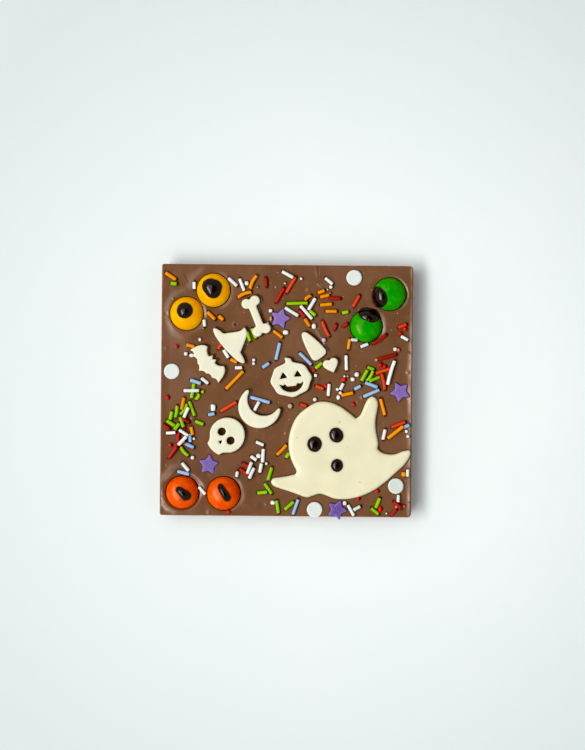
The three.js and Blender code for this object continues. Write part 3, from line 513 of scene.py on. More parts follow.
def shell(rings):
    """The points and faces of a closed shell of rings, with a cap at each end."""
    numbers = stacked(len(rings), len(rings[0]))
    faces = [tuple(numbers[0])] + between(numbers) + [tuple(reversed(numbers[-1]))]
    return np.vstack(rings), faces


def cad_points(node):
    return np.array([vertex.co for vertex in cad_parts[node].data.vertices]) / MM


def middle(node):
    """The middle of a CAD node, and half its size along X, in millimetres."""
    low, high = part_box(node)
    centre = (low + high) / 2 / MM
    return centre.x, centre.y, (high.x - low.x) / 2 / MM


def foot_loops(node):
    """The outlines of a CAD node's flat foot, the outer one first and anticlockwise."""
    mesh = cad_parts[node].data
    places = cad_points(node)
    level = places[:, 2].min() + 0.01
    names = [tuple(np.round(place[:2], 3)) for place in places]
    edges = set()
    for face in mesh.polygons:
        corners = list(face.vertices)
        if all(places[corner][2] < level for corner in corners):
            for first, second in zip(corners, corners[1:] + corners[:1]):
                edges.add((names[first], names[second]))
    onward = {second: first for first, second in edges if (second, first) not in edges}
    loops = []
    while onward:
        start = min(onward)
        loop = [start]
        following = onward.pop(start)
        while following != start:
            loop.append(following)
            following = onward.pop(following)
        loops.append(np.array(loop))
    return sorted(loops, key=lambda loop: -abs(loop_area(loop)))


def loop_area(loop):
    x, y = loop.T
    return 0.5 * float(np.sum(x * np.roll(y, -1) - np.roll(x, -1) * y))


def refined(loop, step, corner=50, soften=2):
    """The loop as a smooth curve at about one step, with corners sharper than some degrees kept."""
    count = len(loop)
    ahead = np.roll(loop, -1, axis=0) - loop
    length = np.hypot(*ahead.T)
    way = ahead / length[:, None]
    back = np.roll(way, 1, axis=0)
    turn = np.degrees(np.arccos(np.clip(np.sum(way * back, axis=1), -1, 1)))
    mean = way + back
    mean /= np.maximum(np.hypot(*mean.T), TINY)[:, None]
    curve = []
    for i in range(count):
        after = (i + 1) % count
        leaving = way[i] if turn[i] > corner else mean[i]
        arriving = way[i] if turn[after] > corner else mean[after]
        pieces = max(2, round(length[i] / step))
        for share in np.arange(pieces) / pieces:
            s2, s3 = share**2, share**3
            curve.append(
                (2 * s3 - 3 * s2 + 1) * loop[i]
                + (s3 - 2 * s2 + share) * length[i] * leaving
                + (3 * s2 - 2 * s3) * loop[after]
                + (s3 - s2) * length[i] * arriving
            )
    curve = np.array(curve)
    for _ in range(soften):
        curve = (np.roll(curve, 1, axis=0) + 2 * curve + np.roll(curve, -1, axis=0)) / 4
    return curve


def pointed(loop):
    """A star's outline with its five arms made narrower towards their tips."""
    centre = loop.mean(axis=0)
    way = loop - centre
    reach = np.hypot(*way.T)
    angle = np.arctan2(way[:, 1], way[:, 0])
    arm = 2 * math.pi / 5
    off = (angle - angle[np.argmax(reach)] + arm / 2) % arm - arm / 2
    far = np.clip((reach / reach.max() - 0.5) / 0.5, 0, 1)
    angle -= STAR_NARROWER * far * off
    reach = reach * (1 + STAR_LONGER * far)
    return centre + np.column_stack([reach * np.cos(angle), reach * np.sin(angle)])


def flat_piece(node, material, relief, bend=None):
    """A flat piece with the CAD node's outline, and that outline with what it does to the chocolate.

    relief gives the height of the top above its level from x, y and the distance to the edge, and
    bend changes the outlines.
    """
    top, rounding, drop, step, inner_step, push, cast = FLATS[node.split("_")[0]]
    loops = [refined(loop, step) for loop in foot_loops(node)]
    if bend:
        loops = [bend(loop) for loop in loops]
    inner = scatter_inside(loops, rounding * 1.15, inner_step, FLAT_INNER_STEP)
    points = np.vstack(loops + [inner])
    edges = []
    start = 0
    for loop in loops:
        edges += [(start + i, start + (i + 1) % len(loop)) for i in range(len(loop))]
        start += len(loop)
    distance = np.concatenate([np.zeros(start), to_loops(inner, loops)])
    share = 1 - np.clip(distance / rounding, 0, 1)
    height = top - drop * (1 - np.sqrt(1 - share**2)) + relief(*points.T, distance)
    above = np.column_stack([points, height])
    below = np.column_stack([points[:start], np.full(start, cad_points(node)[:, 2].min())])
    shift = len(above)
    upper = triangles(points, edges, loops)
    walls = [(shift + a, shift + b, b, a) for a, b in edges]
    lower = triangles(points[:start], edges, loops)
    lower = [tuple(shift + corner for corner in reversed(face)) for face in lower]
    piece = make(node + "_shape", np.vstack([above, below]), upper + walls + lower, material)
    # painted highlight along the edge, shown by the pressed sugar of stars and discs
    marked(piece, "rim", np.concatenate([bump(distance, FLAT_RIM_HIGHLIGHT_WIDTH), np.ones(start)]))
    if node in SHADES:
        marked(piece, "shade", [SHADES[node]] * len(piece.data.vertices))
    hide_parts(node)
    return piece, (loops[0], push, cast)


def scatter_inside(loops, band, fine, coarse):
    """Points inside the outer loop and outside the others, close together near the edge."""
    kept = []
    for step in (fine, coarse):
        grid = hexagons(loops[0].min(axis=0), loops[0].max(axis=0), step)
        grid = grid[within_loops(grid, loops)]
        distance = to_loops(grid, loops)
        fits = (distance > 0.6 * fine) & (distance <= band) if step == fine else distance > band + 0.5 * fine
        kept.append(grid[fits])
    return np.vstack(kept)


def triangles(points, edges, loops):
    """Triangles over the points, only inside the outer loop and outside the holes."""
    result = geometry.delaunay_2d_cdt([Vector(point) for point in points], edges, [], 1, TINY)
    corners, faces, origins = result[0], result[2], result[3]
    if len(corners) != len(points):
        raise ValueError(f"two outline points of a flat piece meet: {len(corners)} of {len(points)}")
    faces = [tuple(origins[corner][0] for corner in face) for face in faces]
    centres = np.array([points[list(face)].mean(axis=0) for face in faces])
    return [face for face, wanted in zip(faces, within_loops(centres, loops)) if wanted]


def ghost_relief(x, y, distance):
    """Slow waves that fade towards the edge, and a top that sinks towards it."""
    return uneven("ghost", x, y) * np.minimum(distance / 2, 1) - 0.02 - 0.3 * np.exp(-distance / 1.5)


def figure_relief(x, y, distance):
    """Slow waves that fade towards the edge."""
    return uneven("figure", x, y) * np.minimum(distance / 1.2, 1)


def star_relief(x, y, distance):
    return uneven("star", x, y)


def disc_relief(x, y, distance):
    """A top that is pressed in a little inside its edge."""
    return uneven("disc", x, y) - 0.1 * np.clip((distance - 0.5) / 0.6, 0, 1)


def swell(radius, distance):
    """The height of a sweet's skin above its widest level."""
    share = np.minimum(distance / radius, SWEET_STEEPEST)
    return SWEET_HEIGHT * (1 - share**2) ** SWEET_BULGE


def sweet(name, material):
    """A lentil-shaped sweet over its CAD node, and its place and radius."""
    x, y, radius = np.add(middle("sweet_" + name), SWEET_CHANGES[name])
    shares = np.sin(np.linspace(SWEET_START, math.pi / 2, SWEET_ROWS))[:-1]
    lower = [(share * radius, -swell(radius, share * radius)) for share in shares]
    rows = lower + [(radius, 0)] + [(wide, -height) for wide, height in reversed(lower)]
    around = circle(SWEET_SIDES)
    levels = [np.full(SWEET_SIDES, SWEET_MIDDLE + height) for _, height in rows]
    rings = [np.column_stack([(x, y) + wide * around, level]) for (wide, _), level in zip(rows, levels)]
    points, faces = shell(rings)
    dent = uneven("sweet", *points[:, :2].T, seed_of(name))
    points[:, 2] += dent * (points[:, 2] > SWEET_MIDDLE + 0.5)
    piece = make("sweet_" + name + "_shape", points, faces, material)
    # painted shade: how far each corner lies towards the side away from the window
    across = ((points[:, 0] - x) * FAR_WAY[0] + (points[:, 1] - y) * FAR_WAY[1]) / radius
    marked(piece, "far", np.clip(across, 0, 1) ** 2)
    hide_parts("sweet_" + name)
    return x, y, radius


def hull(points):
    """The convex outline of flat points, anticlockwise."""
    ordered = sorted(map(tuple, np.round(points, 4)))
    ends = []
    for row in (ordered, ordered[::-1]):
        side = []
        for point in row:
            while len(side) > 1 and cross(side[-2], side[-1], point) <= 0:
                side.pop()
            side.append(point)
        ends += side[:-1]
    return np.array(ends)


def cross(a, b, c):
    return (b[0] - a[0]) * (c[1] - a[1]) - (b[1] - a[1]) * (c[0] - a[0])


def round_circles(circles):
    """The outline that a string round some circles would take."""
    return hull(np.vstack([(x, y) + radius * circle(24) for x, y, radius in circles]))


def skin(place):
    """The height of a sweet's skin under its pupil, as a function of x and y."""
    x, y, radius = place
    return lambda px, py: SWEET_MIDDLE + swell(radius * PUPIL_SPREAD, np.hypot(px - x, py - y))


def ghost_top(x, y):
    """The height of the ghost's top under its eyes and mouth."""
    return np.full(np.shape(x), FLATS["ghost"][0])


def dark_dot(node, surface, material, flat, dent=None):
    """A drop of dark chocolate over its CAD node, on a surface whose height is given by x and y."""
    outline = refined(flat, 0.35, corner=80, soften=3)
    centre = outline.mean(axis=0)
    if dent:
        outline = pressed(outline, centre, *dent)
    wobble = 1 + uneven("dot_outline", *outline.T, len(node))
    outline = centre + (outline - centre) * wobble[:, None]
    rows = [(share, DOT_LIFT + DOT_HEIGHT * (1 - share**2) ** DOT_ROUND) for share in DOT_SHARES]
    rings = []
    for share, height in rows + [DOT_FOOT]:
        place = centre + (outline - centre) * share
        rings.append(np.column_stack([place, surface(*place.T) + height]))
    points, faces = shell(rings)
    points[:, 2] += uneven("dot_top", *points[:, :2].T, seed_of(node))
    piece = make(node + "_shape", points, faces, material)
    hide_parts(node)


def pressed(outline, centre, angle, depth, spread):
    """The outline with a dent towards an angle, of a share of the radius and a width in degrees."""
    way = outline - centre
    turn = np.degrees(np.arctan2(way[:, 1], way[:, 0])) - angle
    turn = (turn + 180) % 360 - 180
    return centre + way * (1 - depth * bump(turn, spread))[:, None]


def rod_line(row, share):
    """Points at some shares of a rod's bowed middle line, and the way across it, seen from above."""
    start, end = np.array(row[:2]), np.array(row[2:4])
    bow = row[4] if len(row) > 4 else 0
    way = (end - start) / np.hypot(*(end - start))
    side = np.array((-way[1], way[0]))
    share = share[:, None]
    return start + (end - start) * share + side * bow * 4 * share * (1 - share), side


def lift_ends(needed):
    """The lowest heights of a straight rod's two ends that keep it above what is needed along it."""
    share = np.linspace(0, 1, len(needed))
    level = needed.max()
    if level <= 0:
        return 0.0, 0.0
    tilts = [(level, level)]
    with np.errstate(divide="ignore", invalid="ignore"):
        tilts.append((np.nanmax(np.where(needed > 0, needed / (1 - share), 0)), 0.0))
        tilts.append((0.0, np.nanmax(np.where(needed > 0, needed / share, 0))))
    return min(tilts, key=lambda tilt: (max(tilt) > TILT_LIMIT, sum(tilt)))


def rod_shell(row, radius, lifts, rng):
    """One rod: a slightly uneven cylinder with blunt, softly edged ends."""
    length = math.dist(row[:2], row[2:4])
    profile = list(ROD_BLUNT) + [(length - gap, wide) for gap, wide in ROD_BLUNT]
    profile += [(length * share, 1) for share in (0.25, 0.5, 0.75)]
    along, widths = map(np.array, zip(*sorted(profile)))
    share = along / length
    centre, side = rod_line(row, share)
    rise = TOP + radius - ROD_SINK + lifts[0] * (1 - share) + lifts[1] * share
    oval, turn = rng.uniform(0.94, 1.06), rng.uniform(0, math.pi)
    angles = np.arange(ROD_SIDES) / ROD_SIDES * 2 * math.pi
    reach = 1 + (oval - 1) * np.cos(2 * angles + turn)
    rings = []
    for place, height, wide in zip(centre, rise, widths):
        thick = radius * wide * rng.uniform(0.97, 1.03) * reach
        across = (thick * np.cos(angles))[:, None] * side
        rings.append(np.column_stack([place + across, height + thick * np.sin(angles)]))
    return shell(rings)


def grain_shell(row, rng, rough, sweets):
    """One grain, partly sunk: an uneven ball, or a bit with blunt corners where it is rough."""
    x, y, breadth = row[:3]
    depth = row[3] if len(row) > 3 else breadth
    tall = min(breadth, depth) * GRAIN_TALL
    foot = TOP + max(0, float(ground(np.array([x]), np.array([y]), sweets)[0]))
    power = rng.uniform(0.5, 1) if rough > 0.05 else 1
    around = circle(GRAIN_SIDES)
    polar = np.arange(1, GRAIN_ROWS) * math.pi / GRAIN_ROWS
    levels = [np.full(GRAIN_SIDES, -math.cos(angle)) for angle in polar]
    rings = [np.column_stack([math.sin(angle) * around, level]) for angle, level in zip(polar, levels)]
    points = np.vstack([(0, 0, -1)] + rings + [(0, 0, 1)])
    points = 0.5 * np.sign(points) * np.abs(points) ** power
    wobble = rng.uniform(-1, 1, (3, 3)) * 3.2
    phase = rng.uniform(0, 6, 3)
    points *= (1 + rough * np.sin(points @ wobble * 2 + phase).mean(axis=1))[:, None]
    points = points * (breadth, depth, tall) + (x, y, foot + tall * (0.5 - GRAIN_SINK))
    numbers = stacked(len(rings), GRAIN_SIDES, 1)
    faces = between(numbers)
    for i in range(GRAIN_SIDES):
        after = (i + 1) % GRAIN_SIDES
        faces.append((0, numbers[0][i], numbers[0][after]))
        faces.append((numbers[-1][after], numbers[-1][i], len(points) - 1))
    return points, faces


def joined(name, shells, material, shades):
    """Many shells as one mesh, each with a shade of its own between zero and one."""
    points, faces, tones = [], [], []
    for (shell_points, shell_faces), shade in zip(shells, shades):
        faces += [tuple(corner + len(tones) for corner in face) for face in shell_faces]
        points.append(shell_points)
        tones += [shade] * len(shell_points)
    piece = make(name, np.vstack(points), faces, material)
    marked(piece, "shade", tones)


def sprinkles(materials, sweets):
    """Rods and grains, one mesh for each colour. Returns the rods' lines and how high they lie."""
    rng = np.random.default_rng(31)
    laid = np.empty((0, 3))
    lines = []
    for colour, rows in RODS.items():
        shells = []
        for row in rows:
            radius = ROD_RADIUS * rng.uniform(*ROD_SIZES)
            line, _ = rod_line(row, np.linspace(0, 1, ROD_POINTS))
            base = radius - ROD_SINK
            needed = np.full(len(line), -1.0)
            if len(laid):
                apart = np.hypot(*(line[:, None] - laid[None, :, :2]).transpose(2, 0, 1))
                clear = RIDE_CLEARANCE * 2 * radius
                above = laid[None, :, 2] + np.sqrt(np.maximum(clear**2 - apart**2, 0))
                needed = np.where(apart < clear, above, -1).max(axis=1) - base
            needed = np.where(needed > SETTLED, SETTLED + SETTLED_SHARE * (needed - SETTLED), needed)
            below = np.maximum(ground(*line.T, sweets), 0)
            lifts = lift_ends(np.maximum(needed, below - 0.08))
            heights = base + np.linspace(*lifts, len(line))
            laid = np.vstack([laid, np.column_stack([line, heights])])
            lines.append((line, max(lifts) - below.max()))
            shells.append(rod_shell(row, radius, lifts, rng))
        joined("rods_" + colour, shells, materials[colour], rng.uniform(0, 1, len(shells)))
    for colour, rows in GRAINS.items():
        rough = 0.02 if colour in ROUND_GRAINS else 0.09
        shells = [grain_shell(row, rng, rough, sweets) for row in rows]
        joined("grains_" + colour, shells, materials[colour], rng.uniform(0, 1, len(shells)))
    return lines


def crumbs(sweets, outlines, lines, material):
    """Tiny flakes of sugar on the bare chocolate."""
    rng = np.random.default_rng(77)
    spots = rng.uniform(-CRUMB_REACH, CRUMB_REACH, (CRUMB_COUNT * 4, 2))
    clear = (to_sweets(spots, sweets).min(axis=1) > 0.6) & (to_outlines(spots, outlines) > 0.5)
    clear &= to_rods(spots, lines) > 1.1
    shells = []
    for x, y in spots[clear][:CRUMB_COUNT]:
        breadth = rng.uniform(*CRUMB_SIZE)
        shells.append(grain_shell((x, y, breadth, breadth * rng.uniform(0.5, 1)), rng, 0.2, sweets))
    joined("crumbs", shells, material, rng.uniform(0, 1, len(shells)))


def to_outline(points, outline, reach=2):
    """The signed distance to a flat piece, negative inside it, or a large one where it isn't near."""
    result = np.full(len(points), FAR)
    window = near(points, outline, reach)
    out = to_loops(points[window], [outline])
    result[window] = np.where(inside(points[window], outline), -out, out)
    return result


def to_outlines(points, outlines):
    """The signed distance to the nearest flat piece."""
    return np.min([to_outline(points, outline) for outline, _, _ in outlines], axis=0)


def to_marks(points):
    """The distance past the edge of the nearest small mark or scratch."""
    result = np.minimum(to_crater(points) - CRATER_RADIUS, to_scratches(points, SCRATCHES) - 0.3)
    for mark_x, mark_y, radius, _ in MARKS:
        result = np.minimum(result, np.hypot(points[:, 0] - mark_x, points[:, 1] - mark_y) - radius)
    return result


def to_sweets(points, sweets):
    """The distance past the edge of each sweet, one column for each."""
    return np.column_stack([np.hypot(*(points - (x, y)).T) - radius for x, y, radius in sweets])


def to_rods(points, lines):
    """The distance to the straight line between the nearest rod's ends."""
    result = np.full(len(points), FAR)
    for line, _ in lines:
        window = near(points, line, 2)
        result[window] = np.minimum(result[window], to_segments(points[window], line[:1], line[-1:]))
    return result


def to_grains(points):
    """The distance past the edge of the nearest grain."""
    result = np.full(len(points), FAR)
    for row in [row for rows in GRAINS.values() for row in rows]:
        away = np.hypot(*(points - row[:2]).T)
        result = np.minimum(result, away - 0.45 * min(row[2], row[-1]))
    return result


def plan(sweets, outlines, lines):
    """The corners of the slab's surface as seen from above, its outline first and anticlockwise."""
    share = np.arange(EDGE_COUNT) / EDGE_COUNT * 2 - 1
    level = np.ones(EDGE_COUNT)
    sides = [(share, -level), (level, share), (-share, level), (-level, -share)]
    square = np.vstack([np.column_stack(side) for side in sides])
    parts = [square * (HALF - row) for row in EDGE_ROWS]

    around = circle(SWEET_COUNT)
    for index, (x, y, radius) in enumerate(sweets):
        rings = np.vstack([(x, y) + (radius + out) * around for out in SWEET_RINGS])
        kept = np.argmin(to_sweets(rings, sweets), axis=1) == index
        kept &= np.abs(rings).max(axis=1) < HALF - EDGE_ROWS[-1] - 0.2
        kept &= to_outlines(rings, outlines) > 1
        parts.append(rings[kept])

    reach = HALF - EDGE_ROWS[-1] - 0.25
    for step in (FINE_STEP, ROD_STEP, OPEN_STEP, HIDDEN_STEP):
        grid = hexagons((-reach, -reach), (reach - step / 2, reach), step)
        past = to_sweets(grid, sweets).min(axis=1)
        beyond = to_outlines(grid, outlines)
        wanted = np.full(len(grid), OPEN_STEP)
        wanted[(to_rods(grid, lines) < ROD_REACH) | (to_grains(grid) < GRAIN_REACH)] = ROD_STEP
        wanted[to_marks(grid) < MARK_REACH] = FINE_STEP
        wanted[past < SWEET_RINGS[-1] + 0.1] = 0
        wanted[past < SWEET_RINGS[0] - 0.4] = HIDDEN_STEP
        wanted[beyond < FLAT_REACH] = FINE_STEP
        wanted[beyond < -HIDDEN_DEPTH] = HIDDEN_STEP
        parts.append(grid[wanted == step])
    return np.vstack(parts)


def rounded_square(x, y):
    """The grid with its corners drawn in to their radii."""
    straight = HALF - np.where(x < 0, CORNER_LEFT, CORNER_RIGHT)
    over_x, over_y = np.maximum(np.abs(x) - straight, 0), np.maximum(np.abs(y) - straight, 0)
    both = (over_x > 0) & (over_y > 0)
    scale = np.maximum(over_x, over_y) / np.maximum(np.hypot(over_x, over_y), TINY)
    new_x = np.where(both, np.sign(x) * (straight + over_x * scale), x)
    new_y = np.where(both, np.sign(y) * (straight + over_y * scale), y)
    return new_x, new_y


def slab_height(x, y, inset_x, inset_y, sweets, outlines, lines):
    """The height of the chocolate's surface above its level."""
    edge = np.maximum(np.minimum(inset_x, inset_y), 0)
    inset = 1 / ((1 / np.maximum(inset_x, TINY)) ** 4 + (1 / np.maximum(inset_y, TINY)) ** 4) ** 0.25
    height = (1 + uneven("rim", x, y) + uneven("rim_fine", x, y)) * rim(x, y)
    height -= GUTTER_DEPTH * (1 + uneven("gutter", x, y)) * bump(inset - GUTTER_PLACE, GUTTER_WIDTH)
    height -= EDGE_DROP * np.clip(1 - edge / EDGE_DROP, 0, 1) ** 2
    height += uneven("top", x, y) + uneven("top_fine", x, y)
    height += ground(x, y, sweets)
    points = np.column_stack([x, y])
    for outline, push, _ in outlines:
        height += beside(points, outline, push)
    for line, lift in lines:
        height += menisci(points, line, lift)
    height += bumps(x, y, MARKS)
    for row in SCRATCHES:
        wide, rise = row[4:]
        height += rise * bump(to_scratches(points, [row]), wide)
    ring = to_crater(points)
    height += CRATER_RISE * bump(ring - CRATER_RADIUS, CRATER_RISE_WIDTH)
    return height - CRATER_DEPTH * bump(ring, CRATER_WIDTH)


def crest(out, place, within, beyond):
    """A ridge with its crest at a place and its own width on each side."""
    away = out - place
    return bump(away, np.where(away < 0, within, beyond))


def rim(x, y):
    """The slab's raised rim, highest along the right side and slimmer towards the back."""
    place = RIM_PLACE + uneven("rim_place", x, y)
    start, end, drawn = RIM_SLIMMER
    share = 1 - drawn * np.clip((y - start) / (end - start), 0, 1)
    height = np.zeros_like(x)
    sides = ((HALF + x, RIM_LEFT), (HALF - x, RIM_RIGHT), (HALF + y, RIM_FRONT), (HALF - y, RIM_BACK))
    for out, rise in sides:
        ridge = crest(out, place, RIM_OUTSIDE, RIM_INSIDE * share)
        height = np.maximum(height, rise * share * ridge)
    return height


def ground(x, y, sweets):
    """The height that the lips and the broad swells give to the surface."""
    return lips(x, y, sweets) + bumps(x, y, SWELLS)


def lips(x, y, sweets):
    """The raised lip round each sweet, and the hollow in which it sits."""
    height = np.zeros_like(x)
    patchy = 1 + uneven("lip", x, y)
    shift = uneven("lip_place", x, y)
    for name, (centre_x, centre_y, radius) in zip(SWEETS, sweets):
        place, within, beyond, tall, side, drawn, fade, ring = LIPS[name]
        out = np.hypot(x - centre_x, y - centre_y) - radius
        facing = 0.5 + 0.5 * np.cos(np.arctan2(y - centre_y, x - centre_x) - math.radians(side))
        narrow = 1 - drawn * facing
        lip = tall * (1 - fade * facing) * crest(out, place * narrow + shift, within, beyond * narrow)
        lip = patchy * (lip + ring * facing * bump(out - RING_PLACE, RING_WIDTH))
        height = (height**3 + lip**3) ** (1 / 3)
    past = to_sweets(np.column_stack([x, y]), sweets).min(axis=1)
    return height - HOLLOW_DEPTH * bump(np.maximum(past, 0), HOLLOW_WIDTH) - HOLLOW_FLOOR * (past < -0.05)


def beside(points, outline, push):
    """The chocolate that a flat piece pushed up round itself, and the dip where they meet."""
    height = np.zeros(len(points))
    window = near(points, outline, 4)
    out = to_outline(points[window], outline, 4)
    patchy = np.clip(0.55 + uneven("ridge", *points[window].T), 0, 1.6)
    ridge = RIDGE_HEIGHT * push * patchy * crest(out, RIDGE_PLACE, *RIDGE_WIDTHS)
    contact = CONTACT_DEPTH * bump(np.maximum(out, 0), CONTACT_WIDTH)
    height[window] = ridge - contact - SUNK * (out < -0.4)
    return height


def menisci(points, line, lift):
    """The chocolate that creeps up the sides of a rod, if the rod isn't lifted off it."""
    height = np.zeros(len(points))
    if lift <= 0.5:
        window = near(points, line, 2.5)
        out = to_segments(points[window], line[:-1], line[1:])
        height[window] = CREEP_HEIGHT * bump(out, CREEP_WIDTH)
    return height


def painted_shadow_depth(points, sweets, outlines, lines):
    """How deep each point is in the painted shadow where a piece meets the chocolate, from zero to one.

    The painted shadow is broader on the side away from the window, and cracks and the crater's pit get
    painted shade too.
    """
    points = points - PAINTED_SHADOW_SHIFT
    past = np.minimum(to_sweets(points, sweets).min(axis=1), to_rods(points, lines) - ROD_RADIUS * 0.8)
    past = np.minimum(past, to_grains(points - PAINTED_SHADOW_SHIFT))
    deep = bump(np.maximum(past, 0), PAINTED_SHADOW_WIDTH)
    for outline, _, cast in outlines:
        past = np.maximum(to_outline(points - cast * FAR_WAY, outline), 0)
        deep = np.maximum(deep, (0.5 + 0.6 * cast) * bump(past, PAINTED_SHADOW_WIDTH + 0.3 * cast))
    # painted shade in the sunken scratches and in the crater's pit
    cracks = [row for row in SCRATCHES if row[5] < 0]
    past = np.minimum(to_scratches(points, cracks), np.maximum(to_crater(points) - 0.35, 0))
    return np.maximum(deep, CRACK_SHADE_DARKNESS * bump(past, CRACK_SHADE_WIDTH))


def slab(sweets, outlines, lines, material):
    """The bar's chocolate as one closed mesh: a surface in relief, four walls and an underside."""
    flat = plan(sweets, outlines, lines)
    x, y = rounded_square(*flat.T)
    height = slab_height(x, y, *(HALF - np.abs(flat.T)), sweets, outlines, lines)
    points = [np.column_stack([x, y, TOP + height])]
    around = 4 * EDGE_COUNT
    edge_x, edge_y = x[:around], y[:around]
    for level, inset in WALL:
        ripple = uneven("wall", edge_x + 3 * level, edge_y - 2 * level) * (level > 0.1)
        scale = (HALF - inset - np.abs(ripple)) / HALF
        points.append(np.column_stack([edge_x * scale, edge_y * scale, np.full(around, level)]))
    spots = np.column_stack([x, y])
    edges = [(i, (i + 1) % around) for i in range(around)]
    rings = [range(around)] + stacked(len(WALL), around, len(flat))
    faces = triangles(spots, edges, [spots[:around]]) + between(rings) + [tuple(reversed(rings[-1]))]
    piece = make("slab_chocolate", np.vstack(points), faces, material)
    out = HALF - np.abs(flat).max(axis=1)
    # the outermost strip of the top, patchy along the edge, which the chocolate shows lighter, more orange
    # and less glossy
    worn = np.clip(1.3 - out / 0.5, 0, 1) * np.clip(0.8 + uneven("edge_line", x, y), 0, 1)
    below = np.zeros(around * len(WALL))
    marked(piece, "edge", np.concatenate([worn, below]))
    # painted shadow where pieces meet the chocolate, and painted shade in its cracks
    marked(piece, "painted_shadow", np.concatenate([painted_shadow_depth(spots, sweets, outlines, lines), below]))
    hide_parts("slab")


def linear(red, green, blue):
    """A colour from 0 to 255 as the linear one that shaders use."""
    parts = []
    for part in (red, green, blue):
        part /= 255
        parts.append(part / 12.92 if part <= 0.04045 else ((part + 0.055) / 1.055) ** 2.4)
    return (*parts, 1)


class Finish:
    """A procedural material built up node by node."""

    def __init__(self, name, roughness, specular, tint=(1, 1, 1)):
        self.material = bpy.data.materials.new(name)
        self.material.use_nodes = True
        self.tree = self.material.node_tree
        self.shader = self.tree.nodes["Principled BSDF"]
        self.place = self.tree.nodes.new("ShaderNodeTexCoord").outputs["Object"]
        self.bumps = {}
        self.surface({"Roughness": roughness, "Specular IOR Level": specular, "Specular Tint": (*tint, 1)})

    def surface(self, inputs):
        self.fill(self.shader, inputs)

    def fill(self, node, inputs):
        """Give a node's inputs their values, or link other nodes' outputs to them."""
        for name, value in inputs.items():
            if isinstance(value, bpy.types.NodeSocket):
                self.tree.links.new(value, node.inputs[name])
            else:
                node.inputs[name].default_value = value

    def add(self, kind, output, inputs, **settings):
        """One output of a new node."""
        node = self.tree.nodes.new("ShaderNode" + kind)
        for name, value in settings.items():
            setattr(node, name, value)
        self.fill(node, inputs)
        return node.outputs[output]

    def noise(self, size, detail=3, roughness=0.5):
        """A noise between zero and one whose patches are about a size in millimetres."""
        inputs = {"Vector": self.place, "Scale": 1 / (size * MM), "Detail": detail, "Roughness": roughness}
        return self.add("TexNoise", "Fac", inputs)

    def attribute(self, name):
        return self.add("Attribute", "Fac", {}, attribute_name=name)

    def away(self, x, y):
        """The distance from an upright line through x and y, all in millimetres."""
        inputs = {0: self.place, 1: (1 / MM, 1 / MM, 0), 2: (-x, -y, 0)}
        flat = self.add("VectorMath", "Vector", inputs, operation="MULTIPLY_ADD")
        return self.add("VectorMath", "Value", {0: flat}, operation="LENGTH")

    def spread(self, value, low, high, out_low=0.0, out_high=1.0):
        """A value's range from low to high stretched to another range."""
        inputs = {"Value": value, "From Min": low, "From Max": high, "To Min": out_low, "To Max": out_high}
        return self.add("MapRange", "Result", inputs)

    def blend(self, amount, base, colour):
        """A base, which is a linear colour or another node's output, with some of a colour."""
        inputs = {"Factor": amount, "A": base, "B": linear(*colour)}
        return self.add("Mix", "Result", inputs, data_type="RGBA")

    def patches(self, base, colour, noise, low, high, most=1.0):
        """The base with patches of a colour, where a noise goes from low to high."""
        return self.blend(self.spread(self.noise(*noise), low, high, 0, most), base, colour)

    def marks(self, base, colour, attribute, most):
        """The base with a colour where an attribute of the mesh goes from zero to one."""
        return self.blend(self.spread(self.attribute(attribute), 0, 1, 0, most), base, colour)

    def stain(self, base, colour, x, y, radius, fade, most):
        """The base with a round stain of a colour, which fades past its radius."""
        return self.blend(self.spread(self.away(x, y), radius, radius + fade, most, 0), base, colour)

    def relief(self, noise, depth):
        """A bumpy noise whose full height is a depth in millimetres, over the ones so far."""
        inputs = {"Strength": 1, "Distance": depth * MM, "Height": self.noise(*noise), **self.bumps}
        self.bumps = {"Normal": self.add("Bump", "Normal", inputs)}
        self.surface(self.bumps)

    def translucent(self, weight, radius):
        """Light that enters and leaves again within about a radius in millimetres."""
        reach = (radius * MM, 0.7 * radius * MM, 0.45 * radius * MM)
        self.surface({"Subsurface Weight": weight, "Subsurface Radius": reach, "Subsurface Scale": 1})


def milk_chocolate():
    finish = Finish("milk_chocolate", 0.3, 0.5, (1, 0.92, 0.82))
    base = finish.patches(linear(114, 77, 52), (124, 86, 61), (16, 4), 0.35, 0.65)
    base = finish.patches(base, (138, 99, 73), (4, 5, 0.6), 0.52, 0.8, 0.4)
    # a lighter, more orange line along the slab's outer edge
    base = finish.marks(base, (138, 76, 34), "edge", 0.85)
    finish.surface({
        # the base colour darkened by the painted shadow round the pieces and in the cracks
        "Base Color": finish.marks(base, (38, 20, 10), "painted_shadow", 0.8),
        "Roughness": finish.spread(finish.noise(7, 4), 0.3, 0.7, 0.2, 0.26),
        "Specular IOR Level": finish.spread(finish.attribute("edge"), 0, 1, 0.5, 0.03),
    })
    finish.relief((0.9, 3), 0.004)
    return finish.material


def white_chocolate(name, deep, light):
    """White chocolate with darker patches, rings of bleed and painted shade round the ghost's dots and a few
    small spots.
    """
    finish = Finish(name, 0.3, 0.5)
    base = finish.patches(linear(*deep), light, (9, 3), 0.35, 0.65)
    base = finish.patches(base, (220, 208, 168), (2.2, 4), 0.62, 0.8, 0.2)
    # a greyish ring round each dot: partly bled dark chocolate, partly painted shade
    for node in GHOST_DOTS:
        base = finish.stain(base, (176, 178, 150), *middle(node), 1.1, 0.35)
    for spot in GHOST_SPOTS:
        base = finish.stain(base, (190, 172, 130), *spot, 0.4, 0.5)
    finish.surface({"Base Color": base})
    finish.relief((1.2, 3), 0.012)
    finish.relief((5, 2), 0.05)
    finish.translucent(0.12, 1.2)
    return finish.material


